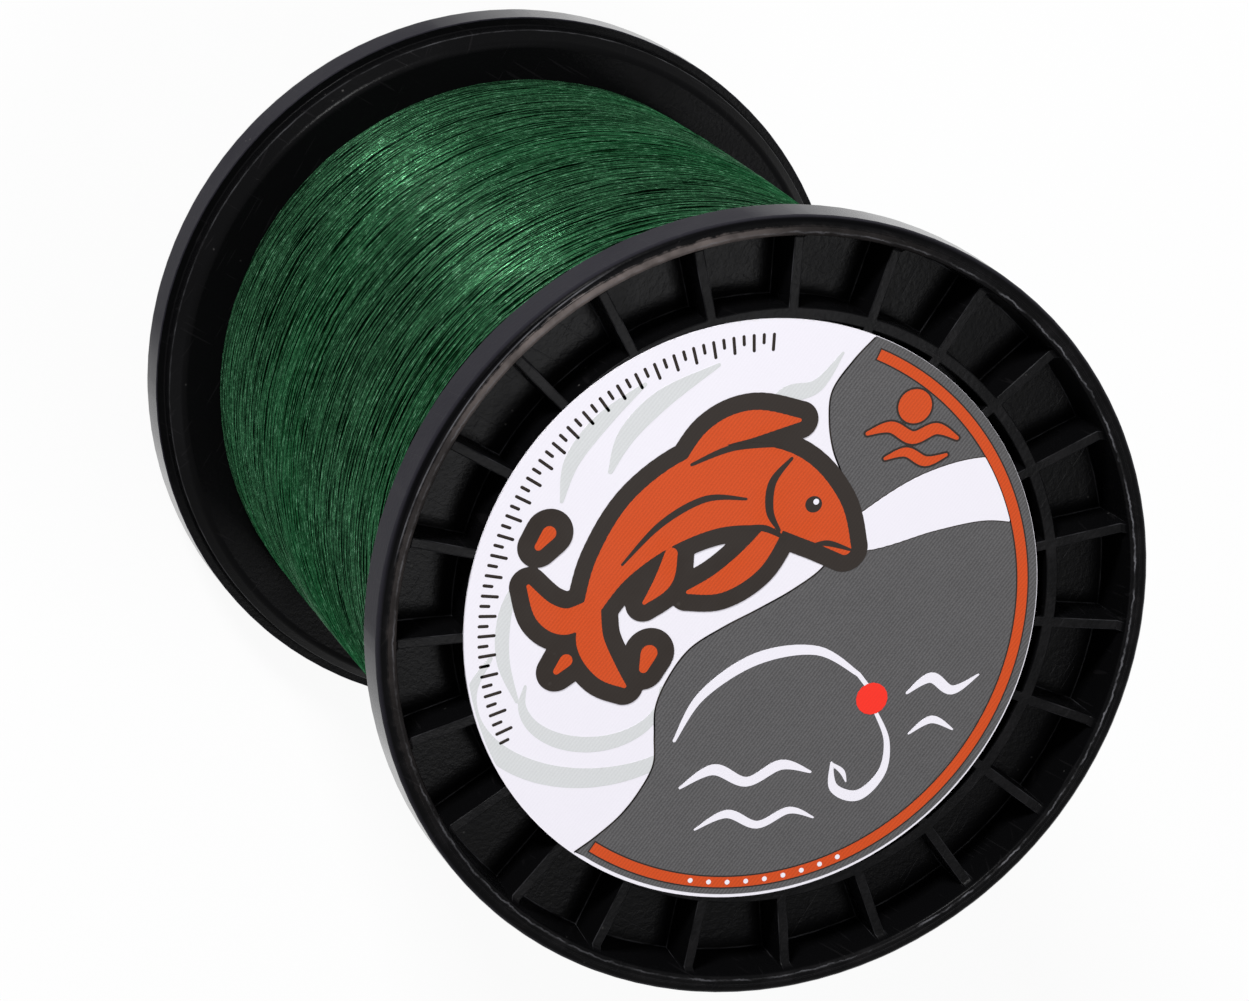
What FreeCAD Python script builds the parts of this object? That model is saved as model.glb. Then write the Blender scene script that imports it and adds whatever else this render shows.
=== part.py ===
"""Fishing line spool: two ribbed flanges on a barrel, wound full of braided line, with a front label.

Millimetres. The spool stands on the rim of its rear flange, +Z along its axis, towards the label.
"""

import FreeCAD, Part

import math
import os

import Sketcher

# Driving sizes

SIZES = {
    # the whole spool
    "overall_width": 144.0,
    "flange_radius": 60.0,
    "spool_turn": 12.8,
    # the rim of a flange, and the shoulder between rim and web
    "rim_width": 7.2,
    "rim_wall": 2.7,
    "rim_taper": 0.9,
    "rim_chamfer": 1.0,
    "shoulder_step": 1.0,
    "shoulder_slope": 2.4,
    # the ribbed outer side of a flange
    "rib_recess": 1.8,
    "pocket_depth": 7.9,
    "pocket_length": 11.3,
    "web_thickness": 2.3,
    "rib_count": 23.0,
    "rib_thickness": 1.5,
    "label_ring_wall": 1.8,
    "hub_ring_radius": 24.0,
    "hub_ring_wall": 1.8,
    "hub_rib_count": 6.0,
    "hub_rib_thickness": 1.8,
    # the boss with the spindle bore
    "bore_radius": 8.0,
    "boss_wall": 2.4,
    "boss_depth": 10.0,
    # the barrel, and the spigots and keys that carry it
    "barrel_radius": 38.0,
    "barrel_wall": 2.0,
    "spigot_depth": 10.0,
    "spigot_wall": 2.0,
    "spigot_clearance": 0.1,
    "key_count": 3.0,
    "key_width": 6.0,
    "key_depth": 4.0,
    "key_inset": 0.4,
    "key_clearance": 0.2,
    # the printed label
    "label_margin": 1.4,
    "label_thickness": 0.4,
    "label_shift": 2.1,
    "label_shift_angle": 187.0,
    # the line
    "line_diameter": 0.4,
    "pack_margin": 8.9,
    "turn_count": 7.0,
    "turn_lift": 0.03,
    "turn_bend_radius": 1.6,
    # the tape under the line
    "tape_angle": 50.0,
    "tape_width": 24.0,
    "tape_thickness": 0.15,
    "tape_offset": 8.0,
}

# Sizes that follow from the driving ones

WORKED_OUT = {
    "rim_face_radius": "flange_radius - rim_chamfer",
    "rim_inner_radius": "flange_radius - rim_wall",
    "floor_radius": "rim_inner_radius - rim_taper",
    "floor_depth": "rib_recess + pocket_depth",
    "web_depth": "floor_depth + web_thickness",
    "shoulder_radius": "flange_radius - shoulder_step",
    "shoulder_foot_radius": "shoulder_radius - shoulder_slope",
    "label_ring_radius": "rim_inner_radius - pocket_length",
    "label_ring_bore": "label_ring_radius - label_ring_wall",
    "hub_ring_bore": "hub_ring_radius - hub_ring_wall",
    "rib_near": "hub_ring_radius - hub_ring_wall / 2",
    "rib_half": "rib_thickness / 2",
    "boss_radius": "bore_radius + boss_wall",
    "boss_length": "web_depth - rib_recess + boss_depth",
    "hub_rib_near": "boss_radius - boss_wall / 2",
    "hub_rib_half": "hub_rib_thickness / 2",
    "barrel_bore": "barrel_radius - barrel_wall",
    "barrel_length": "overall_width - 2 * web_depth",
    "spigot_radius": "barrel_bore - spigot_clearance",
    "spigot_bore": "spigot_radius - spigot_wall",
    "key_near": "spigot_radius - spigot_wall / 2",
    "key_far": "barrel_radius - key_inset",
    "key_half": "key_width / 2",
    "slot_near": "barrel_bore - barrel_wall",
    "slot_far": "barrel_radius + barrel_wall",
    "slot_half": "key_half + key_clearance",
    "slot_depth": "key_depth + key_clearance",
    "label_radius": "label_ring_radius - label_margin",
    "label_height": "overall_width - rib_recess",
    "tape_radius": "barrel_radius + tape_thickness",
    "tape_height": "web_depth + tape_offset",
    "line_radius": "line_diameter / 2",
    "turn_radius": "flange_radius - pack_margin - line_radius",
    "core_radius": "turn_radius - line_radius - turn_lift",
    "turn_lead": "line_diameter + turn_bend_radius",
    "turn_pitch": "(barrel_length - 2 * turn_lead) / turn_count",
}

# Standing on the rear web, turned with the flanges
ON_REAR_WEB = "create(<<placement>>; create(<<vector>>; 0; 0; sizes.web_depth); " \
              "create(<<rotation>>; create(<<vector>>; 0; 0; 1); sizes.spool_turn))"
REAR_PLACE = "create(<<placement>>; create(<<vector>>; 0; 0; 0); " \
             "create(<<rotation>>; create(<<vector>>; 0; 0; 1); sizes.spool_turn))"
# Turned over about a level line, so that its ribs stand over those of the rear flange
FRONT_PLACE = "create(<<placement>>; create(<<vector>>; 0; 0; sizes.overall_width); " \
              "create(<<rotation>>; create(<<vector>>; cos(sizes.spool_turn / 2); " \
              "sin(sizes.spool_turn / 2); 0); 180))"

AXIS = "0"
UP = FreeCAD.Vector(0, 0, 1)
GAP_STEP = 4.0


# The spreadsheet

def make_sheet(doc):
    """Writes every size into the spreadsheet, its name in column A and its value beside it."""
    sheet = doc.addObject("Spreadsheet::Sheet", "sizes")
    cells = {name: str(value) for name, value in SIZES.items()}
    cells.update({name: "=" + formula for name, formula in WORKED_OUT.items()})
    for row, (name, content) in enumerate(cells.items(), start=1):
        sheet.set("A%d" % row, name)
        sheet.set("B%d" % row, content)
        sheet.setAlias("B%d" % row, name)
    doc.recompute()
    return sheet


DOC = FreeCAD.newDocument("fishing_line_spool")
SHEET = make_sheet(DOC)


def size(name):
    """A size's value. A minus before the name takes the negative side, and AXIS is zero."""
    if name == AXIS:
        return 0.0
    if name.startswith("-"):
        return -SHEET.get(name[1:])
    return SHEET.get(name)


def bind(item, field, name):
    """Binds a property of an object to a cell of the sheet."""
    item.setExpression(field, "sizes." + name)


# Sketches and features

def origin_item(body, role):
    """The body's own origin plane or axis with this role."""
    return next(item for item in body.Origin.OriginFeatures if item.Role == role)


def new_body(label, place):
    """An empty body, placed by the sheet."""
    body = DOC.addObject("PartDesign::Body", label)
    body.Label = label
    body.setExpression("Placement", place)
    return body


def new_sketch(body, name, plane, height=None):
    """An empty sketch on an origin plane of the body, lifted to a height."""
    sketch = body.newObject("Sketcher::SketchObject", name + "_sketch")
    sketch.AttachmentSupport = [(origin_item(body, plane), "")]
    sketch.MapMode = "FlatFace"
    if height:
        bind(sketch, "AttachmentOffset.Base.z", height)
    return sketch


def add_circle(sketch, radius):
    """A circle about the spool's axis."""
    edge = sketch.addGeometry(Part.Circle(FreeCAD.Vector(0, 0, 0), UP, size(radius)), False)
    sketch.addConstraint(Sketcher.Constraint("Coincident", edge, 3, -1, 1))
    index = sketch.addConstraint(Sketcher.Constraint("Radius", edge, size(radius)))
    bind(sketch, "Constraints[%d]" % index, radius)


def hold(sketch, kind, edge, name):
    """Holds the start of an edge across or up from the sketch's origin."""
    if name == AXIS:
        line = -1 if kind == "DistanceY" else -2
        sketch.addConstraint(Sketcher.Constraint("PointOnObject", edge, 1, line))
        return
    ends = (edge, 1, -1, 1) if name.startswith("-") else (-1, 1, edge, 1)
    index = sketch.addConstraint(Sketcher.Constraint(kind, *ends, abs(size(name))))
    bind(sketch, "Constraints[%d]" % index, name.lstrip("-"))


def add_outline(sketch, corners):
    """A closed outline through corners, each the names of its sizes across and up."""
    places = [FreeCAD.Vector(size(across), size(up), 0) for across, up in corners]
    following = places[1:] + places[:1]
    lines = [Part.LineSegment(start, end) for start, end in zip(places, following)]
    edges = list(sketch.addGeometry(lines, False))
    for edge, after in zip(edges, edges[1:] + edges[:1]):
        sketch.addConstraint(Sketcher.Constraint("Coincident", edge, 2, after, 1))
    for edge, (across, up) in zip(edges, corners):
        hold(sketch, "DistanceX", edge, across)
        hold(sketch, "DistanceY", edge, up)


def pad(body, name, sketch, length):
    """Pads a sketch upwards."""
    feature = body.newObject("PartDesign::Pad", name)
    feature.Profile = sketch
    bind(feature, "Length", length)
    return feature


def ring(body, name, outer, inner, height, length):
    """A round wall between two radii that starts at a height."""
    sketch = new_sketch(body, name, "XY_Plane", height)
    add_circle(sketch, outer)
    add_circle(sketch, inner)
    return pad(body, name, sketch, length)


def bar_sketch(body, name, near, far, half, height=None):
    """A rectangle along +X between two radii, as wide as twice its half width."""
    sketch = new_sketch(body, name, "XY_Plane", height)
    add_outline(sketch, [(near, "-" + half), (far, "-" + half), (far, half), (near, half)])
    return sketch


def polar(body, name, feature, count):
    """Repeats a feature evenly about the spool's axis."""
    pattern = body.newObject("PartDesign::PolarPattern", name)
    pattern.Originals = [feature]
    pattern.Axis = (origin_item(body, "Z_Axis"), [""])
    pattern.Angle = 360.0
    bind(pattern, "Occurrences", count)
    body.Tip = pattern


def bars(body, name, near, far, half, height, length, count):
    """Straight bars between two radii, repeated evenly about the spool's axis."""
    sketch = bar_sketch(body, name, near, far, half, height)
    polar(body, name + "_pattern", pad(body, name, sketch, length), count)


# The flanges

def make_flange(label, place):
    """One flange moulding. Its own frame has the rim's face at the bottom and the barrel above."""
    body = new_body(label, place)
    section = new_sketch(body, "section", "XZ_Plane")
    add_outline(section, [
        ("bore_radius", "floor_depth"),
        ("floor_radius", "floor_depth"),
        ("rim_inner_radius", AXIS),
        ("rim_face_radius", AXIS),
        ("flange_radius", "rim_chamfer"),
        ("flange_radius", "rim_width"),
        ("shoulder_radius", "rim_width"),
        ("shoulder_foot_radius", "web_depth"),
        ("bore_radius", "web_depth"),
    ])
    rim_and_web = body.newObject("PartDesign::Revolution", "rim_and_web")
    rim_and_web.Profile = section
    rim_and_web.ReferenceAxis = (origin_item(body, "Z_Axis"), [""])
    rim_and_web.Angle = 360.0
    ring(body, "label_ring", "label_ring_radius", "label_ring_bore", "rib_recess", "pocket_depth")
    ring(body, "hub_ring", "hub_ring_radius", "hub_ring_bore", "rib_recess", "pocket_depth")
    ring(body, "boss", "boss_radius", "bore_radius", "rib_recess", "boss_length")
    ring(body, "spigot", "spigot_radius", "spigot_bore", "web_depth", "spigot_depth")
    bars(body, "key", "key_near", "key_far", "key_half", "web_depth", "key_depth", "key_count")
    bars(body, "hub_rib", "hub_rib_near", "rib_near", "hub_rib_half", "rib_recess", "pocket_depth",
         "hub_rib_count")
    bars(body, "rib", "rib_near", "rim_inner_radius", "rib_half", "rib_recess", "pocket_depth",
         "rib_count")
    return body


# The barrel and the tape on it

def cut_slots(body, name, height, upwards):
    """Cuts the key slots into one end of the barrel."""
    DOC.recompute()
    uncut = body.Tip.Shape.Volume
    sketch = bar_sketch(body, name, "slot_near", "slot_far", "slot_half", height)
    slot = body.newObject("PartDesign::Pocket", name)
    slot.Profile = sketch
    slot.Reversed = upwards
    bind(slot, "Length", "slot_depth")
    polar(body, name + "_pattern", slot, "key_count")
    DOC.recompute()
    if body.Tip.Shape.Volume >= uncut:
        raise RuntimeError("the slots at one end of the barrel cut nothing")


def make_barrel():
    """The tube between the flanges, slotted at both ends for their keys."""
    body = new_body("barrel", ON_REAR_WEB)
    ring(body, "tube", "barrel_radius", "barrel_bore", None, "barrel_length")
    cut_slots(body, "rear_slot", None, True)
    cut_slots(body, "front_slot", "barrel_length", False)
    return body


def make_tape():
    """The strip that holds the line's inner end, bent round a part of the barrel."""
    strip = DOC.addObject("Part::Cylinder", "tape_strip")
    hollow = DOC.addObject("Part::Cylinder", "tape_hollow")
    bind(strip, "Radius", "tape_radius")
    bind(hollow, "Radius", "barrel_radius")
    for item in (strip, hollow):
        bind(item, "Angle", "tape_angle")
        bind(item, "Height", "tape_width")
    tape = DOC.addObject("Part::Cut", "start_tape")
    tape.Label = "start_tape"
    tape.Base = strip
    tape.Tool = hollow
    bind(tape, "Placement.Base.z", "tape_height")
    return tape


# The label

def make_label():
    """The printed disc, glued on the front flange's label ring and ribs a little off centre."""
    label = DOC.addObject("Part::Cylinder", "front_label")
    label.Label = "front_label"
    bind(label, "Radius", "label_radius")
    bind(label, "Height", "label_thickness")
    bind(label, "Placement.Base.z", "label_height")
    label.setExpression("Placement.Base.x", "sizes.label_shift * cos(sizes.label_shift_angle)")
    label.setExpression("Placement.Base.y", "sizes.label_shift * sin(sizes.label_shift_angle)")
    return label


# The line

def make_core(tape):
    """The lower layers of line, with room for the tape on the barrel."""
    layers = new_body("line_layers", ON_REAR_WEB)
    ring(layers, "wound_layers", "core_radius", "barrel_radius", None, "barrel_length")
    core = DOC.addObject("Part::Cut", "line_core")
    core.Label = "line_core"
    core.Base = layers
    core.Tool = tape
    return core


def winding_point(turn):
    """Where the outer turns' centre line is after a number of turns, and which way it runs."""
    angle = math.tau * turn
    outwards = FreeCAD.Vector(math.cos(angle), math.sin(angle), 0)
    place = outwards * size("turn_radius") + UP * (size("turn_lead") + size("turn_pitch") * turn)
    course = UP.cross(outwards) * size("turn_radius") + UP * (size("turn_pitch") / math.tau)
    return place, course.normalize()


def arc_between(start, course, end, reverse=False):
    """The arc that leaves a point along a course and reaches another point."""
    chord = end - start
    along = FreeCAD.Vector(chord).normalize()
    aside = course - along * course.dot(along)
    sagitta = chord.Length / 2 * math.tan(math.acos(course.dot(along)) / 2)
    middle = (start + end) * 0.5 + aside.normalize() * sagitta
    return Part.Arc(end, middle, start) if reverse else Part.Arc(start, middle, end)


def biarc(start, course, end, end_course):
    """Two arcs that meet smoothly, and leave one point and reach another along given courses."""
    chord = end - start
    both = chord.dot(course + end_course)
    bend = 2 * (1 - course.dot(end_course))
    reach = (math.sqrt(both ** 2 + bend * chord.dot(chord)) - both) / bend
    meeting = (start + end + (course - end_course) * reach) * 0.5
    return [arc_between(start, course, meeting), arc_between(end, end_course * -1, meeting, reverse=True)]


def lead_end(point, course, side):
    """Where the bend between a web and the winding meets the straight run, below or above a point."""
    bend = size("turn_bend_radius")
    around = FreeCAD.Vector(course - UP * course.dot(UP)).normalize()
    steepness = course.dot(UP)
    return point + (around * (1 - steepness) + UP * math.sqrt(1 - steepness ** 2)) * (bend * side)


def winding_path():
    """The centre line: out of the rear web, round the core in biarcs of half a turn, into the front."""
    half_turns = round(2 * size("turn_count"))
    stations = [winding_point(count / 2) for count in range(half_turns + 1)]
    first, first_course = stations[0]
    last, last_course = stations[-1]
    rear_bend = lead_end(first, first_course, -1)
    front_bend = lead_end(last, last_course, 1)
    rear_foot = FreeCAD.Vector(rear_bend.x, rear_bend.y, 0)
    front_foot = FreeCAD.Vector(front_bend.x, front_bend.y, size("barrel_length"))
    curves = [Part.LineSegment(rear_foot, rear_bend), arc_between(rear_bend, UP, first)]
    for (start, course), (end, end_course) in zip(stations, stations[1:]):
        curves += biarc(start, course, end, end_course)
    curves += [arc_between(last, last_course, front_bend), Part.LineSegment(front_bend, front_foot)]
    return curves


def line_section(centre):
    """The line's section about the start of its path: round, drawn with three sides, one on the core."""
    reach = FreeCAD.Vector(centre.x, centre.y, 0).normalize() * size("line_radius")
    quarter = UP.cross(reach)
    corners = [centre + reach * math.cos(turned) + quarter * math.sin(turned)
               for turned in (0, math.tau / 3, 2 * math.tau / 3, 0)]
    return Part.Wire(Part.makePolygon(corners))


def least_gap(spine):
    """The least distance between the surfaces of two stretches at least half a turn apart."""
    points = spine.discretize(Distance=GAP_STEP)
    apart = math.ceil(math.pi * size("turn_radius") / GAP_STEP)
    spans = [a.distanceToPoint(b) for i, a in enumerate(points) for b in points[i + apart:]]
    return min(spans) - size("line_diameter")


def make_turns():
    """The outer pass of the line: one unbroken length wound round the core from web to web."""
    curves = winding_path()
    spine = Part.Wire([curve.toShape() for curve in curves])
    section = line_section(curves[0].StartPoint)
    shell = Part.BRepOffsetAPI.MakePipeShell(spine)
    shell.add(section)
    shell.build()
    shell.makeSolid()
    turns = DOC.addObject("Part::Feature", "line_turns")
    turns.Label = "line_turns"
    turns.Shape = shell.shape()
    turns.setExpression("Placement", ON_REAR_WEB)
    expected = Part.Face(section).Area * spine.Length
    print("line_turns: %.0f mm of line, least gap to itself %.2f mm" % (spine.Length, least_gap(spine)))
    print("line_turns: volume %.1f, section times length %.1f" % (turns.Shape.Volume, expected))
    return turns


# The whole spool

def check(nodes):
    """Stops if any object of the document failed, or a node's solid isn't sound."""
    for item in DOC.Objects:
        if "Invalid" in item.State or "Error" in item.State:
            raise RuntimeError(item.Label + " failed: " + ", ".join(item.State))
    for node in nodes:
        if node.Shape.isNull() or not node.Shape.isValid() or not node.Shape.Solids:
            raise RuntimeError(node.Label + " has no sound solid")


def main():
    """Builds the spool and writes one STEP file for each piece."""
    tape = make_tape()
    nodes = [
        make_flange("rear_flange", REAR_PLACE),
        make_flange("front_flange", FRONT_PLACE),
        make_barrel(),
        tape,
        make_core(tape),
        make_turns(),
        make_label(),
    ]
    DOC.recompute()
    check(nodes)
    os.makedirs("parts", exist_ok=True)
    for node in nodes:
        node.Shape.exportStep(os.path.join("parts", node.Label + ".step"))
        print("%s: %d solid, %.0f cubic mm" % (node.Label, len(node.Shape.Solids), node.Shape.Volume))


main()
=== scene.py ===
"""Fishing line spool: two ribbed black flanges, a barrel wound full of braided line, a printed label.

Metres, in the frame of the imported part: the spool stands on the rim of its rear flange and +Z runs
along its axis to the labelled front flange.
"""

import logging
import math
from collections.abc import Iterable, Sequence
from dataclasses import dataclass, field
from enum import Enum

import bmesh
import bpy
import numpy as np
from mathutils import Matrix, Vector


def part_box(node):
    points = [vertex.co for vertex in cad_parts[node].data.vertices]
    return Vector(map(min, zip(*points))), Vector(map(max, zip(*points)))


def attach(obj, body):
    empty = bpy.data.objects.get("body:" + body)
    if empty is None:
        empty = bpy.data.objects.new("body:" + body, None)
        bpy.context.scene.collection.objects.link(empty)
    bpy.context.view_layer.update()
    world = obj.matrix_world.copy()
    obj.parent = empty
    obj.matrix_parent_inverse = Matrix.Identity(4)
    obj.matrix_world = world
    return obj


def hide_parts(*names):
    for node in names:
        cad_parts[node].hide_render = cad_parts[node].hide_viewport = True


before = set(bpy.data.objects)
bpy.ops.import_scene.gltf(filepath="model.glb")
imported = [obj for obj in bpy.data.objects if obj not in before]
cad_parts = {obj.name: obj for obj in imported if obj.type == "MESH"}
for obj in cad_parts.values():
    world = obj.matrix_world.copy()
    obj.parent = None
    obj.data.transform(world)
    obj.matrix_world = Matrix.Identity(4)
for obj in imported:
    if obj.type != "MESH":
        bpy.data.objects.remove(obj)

LOG = logging.getLogger("spool")
BODY = "root"
TURN = math.tau

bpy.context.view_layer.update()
SPOOL_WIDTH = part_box("front_flange")[1].z
SPOOL_MIDDLE = Vector((0.0, 0.0, SPOOL_WIDTH / 2))

# A colour, a noise's scale, detail and roughness, the ends of a range, and places and lines of them

Colour = tuple[float, float, float, float]
Noise = tuple[float, float, float]
Range = tuple[float, float]
Point = tuple[float, float]
Triple = tuple[float, float, float]
Stroke = list[Triple]
Outlines = tuple[tuple[Point, ...], ...]


class Slot(Enum):
    """Names of the record's material slots; the script gives them to no piece."""

    PLASTIC = "spool_plastic"
    LINE = "braided_line"
    PRINT = "printed_label"


def linear(red: int, green: int, blue: int) -> Colour:
    """A colour given as it shows on a screen, from 0 to 255, as the linear values that shaders take.

    Args:
        red: The red share.
        green: The green share.
        blue: The blue share.

    Returns:
        Linear red, green and blue, and an alpha of 1.
    """
    def straighten(share: int) -> float:
        """One share as light, from 0 to 1."""
        level = share / 255
        return level / 12.92 if level <= 0.04045 else ((level + 0.055) / 1.055) ** 2.4

    return straighten(red), straighten(green), straighten(blue), 1.0


# Node trees

class Tree:
    """A node tree under construction, with short ways to add nodes and to join them."""

    def __init__(self, tree: bpy.types.NodeTree) -> None:
        """Takes the tree to build in.

        Args:
            tree: An empty shader or geometry tree.
        """
        self.tree = tree

    def add(self, kind: str, inputs: dict[int | str, object] | None = None,
            **settings: object) -> bpy.types.Node:
        """Adds one node.

        Args:
            kind: The node's type.
            inputs: A constant, or a socket to join, for each input by name or number.
            settings: The node's own settings, such as its operation.

        Returns:
            The new node.
        """
        node = self.tree.nodes.new(kind)
        for name, value in settings.items():
            setattr(node, name, value)
        for key, value in (inputs or {}).items():
            if isinstance(value, bpy.types.NodeSocket):
                self.tree.links.new(value, node.inputs[key])
            else:
                node.inputs[key].default_value = value
        return node

    def sum(self, kind: str, first: object, second: object = 0.0,
            third: object = 0.0) -> bpy.types.NodeSocket:
        """Adds a Math node.

        Args:
            kind: The operation.
            first: The first number or socket.
            second: The second number or socket.
            third: The third number or socket.

        Returns:
            The result's socket.
        """
        return self.add("ShaderNodeMath", {0: first, 1: second, 2: third}, operation=kind).outputs[0]

    def times(self, first: object, second: object) -> bpy.types.NodeSocket:
        """Multiplies two numbers or sockets."""
        return self.sum("MULTIPLY", first, second)

    def spread(self, value: object, low: float, high: float, to_low: float = 0.0,
               to_high: float = 1.0) -> bpy.types.NodeSocket:
        """Maps a value from one range to another, and holds it there.

        Args:
            value: The number or socket.
            low: The value that gives to_low.
            high: The value that gives to_high.
            to_low: The result at low.
            to_high: The result at high.

        Returns:
            The result's socket.
        """
        return self.add("ShaderNodeMapRange", {0: value, 1: low, 2: high, 3: to_low, 4: to_high}).outputs[0]

    def noise(self, place: bpy.types.NodeSocket, scale: object, detail: float = 2.0,
              roughness: float = 0.5) -> bpy.types.NodeSocket:
        """Adds a noise texture.

        Args:
            place: The coordinates.
            scale: Blobs per metre.
            detail: How many finer layers it has.
            roughness: How strong the finer layers are.

        Returns:
            The noise's value, near 0.5.
        """
        inputs = {"Vector": place, "Scale": scale, "Detail": detail, "Roughness": roughness}
        return self.add("ShaderNodeTexNoise", inputs).outputs[0]

    def blend(self, share: object, first: object, second: object) -> bpy.types.NodeSocket:
        """Mixes two colours.

        Args:
            share: How much of the second colour shows.
            first: The first colour or socket.
            second: The second colour or socket.

        Returns:
            The colour's socket.
        """
        node = self.add("ShaderNodeMix", {0: share, 6: first, 7: second}, data_type="RGBA")
        return node.outputs[2]

    def bump(self, height: bpy.types.NodeSocket, depth: float) -> bpy.types.NodeSocket:
        """Turns a height from 0 to 1 into a normal.

        Args:
            height: The height's socket.
            depth: What a height of 1 is, in metres.

        Returns:
            The normal's socket.
        """
        return self.add("ShaderNodeBump", {"Height": height, "Distance": depth, "Strength": 1.0}).outputs[0]

    def vector(self, kind: str, first: object, second: object = (0.0, 0.0, 0.0)) -> bpy.types.NodeSocket:
        """Adds a Vector Math node.

        Args:
            kind: The operation.
            first: The first vector or socket.
            second: The second vector or socket.

        Returns:
            The result's socket: a number for a length or a dot product, and otherwise a vector.
        """
        node = self.add("ShaderNodeVectorMath", {0: first, 1: second}, operation=kind)
        return node.outputs["Value" if kind in ("LENGTH", "DOT_PRODUCT") else "Vector"]

    def place(self) -> bpy.types.NodeSocket:
        """The point's place on the spool, in metres."""
        return self.add("ShaderNodeTexCoord").outputs["Object"]

    def attribute(self, name: str) -> bpy.types.NodeSocket:
        """The value of one of the mesh's own attributes."""
        return self.add("ShaderNodeAttribute", attribute_name=name).outputs["Fac"]

    def use(self, group: bpy.types.NodeTree, values: dict[str, object] | None = None) -> bpy.types.Node:
        """Places a shader group, with a constant or a socket for each input by name."""
        return self.add("ShaderNodeGroup", values, node_tree=group)

    def store(self, geometry: bpy.types.NodeSocket, name: str,
              value: bpy.types.NodeSocket) -> bpy.types.NodeSocket:
        """Keeps a value at each point of a geometry as an attribute.

        Args:
            geometry: The geometry's socket.
            name: The attribute's name.
            value: The number's socket.

        Returns:
            The geometry with the attribute.
        """
        inputs = {"Geometry": geometry, "Name": name, "Value": value}
        return self.add("GeometryNodeStoreNamedAttribute", inputs, data_type="FLOAT",
                        domain="POINT").outputs[0]

    def end_geometry(self, end: bpy.types.Node, geometry: bpy.types.NodeSocket,
                     finish: bpy.types.NodeSocket) -> None:
        """Ends a geometry tree with a smooth surface and its material.

        Args:
            end: The node that takes the group's outputs.
            geometry: The geometry, with no instances left in it.
            finish: The material's socket.
        """
        smooth = self.add("GeometryNodeSetShadeSmooth", {"Geometry": geometry})
        dressed = self.add("GeometryNodeSetMaterial", {"Geometry": smooth.outputs[0], "Material": finish})
        self.join(end, {"Geometry": dressed.outputs[0]})

    def join(self, node: bpy.types.Node, sockets: dict[str, bpy.types.NodeSocket]) -> None:
        """Joins sockets to a node's inputs by name."""
        for name, socket in sockets.items():
            self.tree.links.new(socket, node.inputs[name])


def new_group(name: str, kind: str, inputs: dict[str, tuple[str, object]],
              outputs: dict[str, str]) -> tuple[Tree, dict[str, bpy.types.NodeSocket], bpy.types.Node]:
    """Starts a node group with named inputs and outputs.

    Args:
        name: The group's name.
        kind: ShaderNodeTree or GeometryNodeTree.
        inputs: The socket type and first value of each input.
        outputs: The socket type of each output.

    Returns:
        The tree, the sockets of its inputs by name, and the node that takes its outputs.
    """
    group = bpy.data.node_groups.new(name, kind)
    for label, (socket_type, value) in inputs.items():
        socket = group.interface.new_socket(label, in_out="INPUT", socket_type=socket_type)
        if value is not None:
            socket.default_value = value
    for label, socket_type in outputs.items():
        group.interface.new_socket(label, in_out="OUTPUT", socket_type=socket_type)
    tree = Tree(group)
    entry = tree.add("NodeGroupInput")
    sockets = {label: entry.outputs[label] for label in inputs}
    return tree, sockets, tree.add("NodeGroupOutput")


# Effects that several finishes share

def grain_group() -> bpy.types.NodeTree:
    """The fine grain and the faint waviness of a moulded or coated surface.

    Returns:
        A shader group that puts out a height, near 0.5.
    """
    tree, given, end = new_group(
        "surface_grain", "ShaderNodeTree",
        {"Grain": ("NodeSocketFloat", 2600.0), "Waves": ("NodeSocketFloat", 60.0),
         "Wave Share": ("NodeSocketFloat", 0.5)},
        {"Height": "NodeSocketFloat"})
    place = tree.place()
    fine = tree.noise(place, given["Grain"], 2.0, 0.6)
    wide = tree.noise(place, given["Waves"], 1.0, 0.4)
    height = tree.sum("MULTIPLY_ADD", wide, given["Wave Share"], fine)
    tree.join(end, {"Height": height})
    return tree.tree


def dust_group() -> bpy.types.NodeTree:
    """Small pale specks and soft smudges that lie on a handled surface.

    Returns:
        A shader group that puts out a mask of specks and one of smudges.
    """
    tree, given, end = new_group(
        "dust", "ShaderNodeTree",
        {"Specks": ("NodeSocketFloat", 420.0), "Smudges": ("NodeSocketFloat", 45.0)},
        {"Speck": "NodeSocketFloat", "Smudge": "NodeSocketFloat"})
    place = tree.place()
    cells = tree.add("ShaderNodeTexVoronoi", {"Vector": place, "Scale": given["Specks"]})
    near = tree.spread(cells.outputs["Distance"], 0.10, 0.04)
    chosen = tree.spread(tree.noise(place, 90.0, 1.0), 0.60, 0.68)
    smudge = tree.spread(tree.noise(place, given["Smudges"], 4.0, 0.65), 0.48, 0.72)
    tree.join(end, {"Speck": tree.times(near, chosen), "Smudge": smudge})
    return tree.tree


def scratch_group() -> bpy.types.NodeTree:
    """Fine straight scratches in two directions.

    Returns:
        A shader group that puts out a mask of the scratches.
    """
    tree, given, end = new_group(
        "scratches", "ShaderNodeTree",
        {"Length": ("NodeSocketFloat", 130.0), "Width": ("NodeSocketFloat", 2600.0)},
        {"Scratch": "NodeSocketFloat"})
    place = tree.place()
    scale = tree.add("ShaderNodeCombineXYZ", {0: given["Length"], 1: given["Width"], 2: given["Length"]})
    masks = []
    for angle in (0.5, 2.1):
        turned = tree.add("ShaderNodeVectorRotate",
                          {"Vector": place, "Axis": (0.3, 0.2, 1.0), "Angle": angle})
        drawn = tree.vector("MULTIPLY", turned.outputs[0], scale.outputs[0])
        masks.append(tree.spread(tree.noise(drawn, 1.0, 0.0), 0.76, 0.80))
    tree.join(end, {"Scratch": tree.sum("MAXIMUM", *masks)})
    return tree.tree


@dataclass
class Effects:
    """The shared shader groups, built once."""

    grain: bpy.types.NodeTree = field(default_factory=grain_group)
    dust: bpy.types.NodeTree = field(default_factory=dust_group)
    scratches: bpy.types.NodeTree = field(default_factory=scratch_group)


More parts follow.
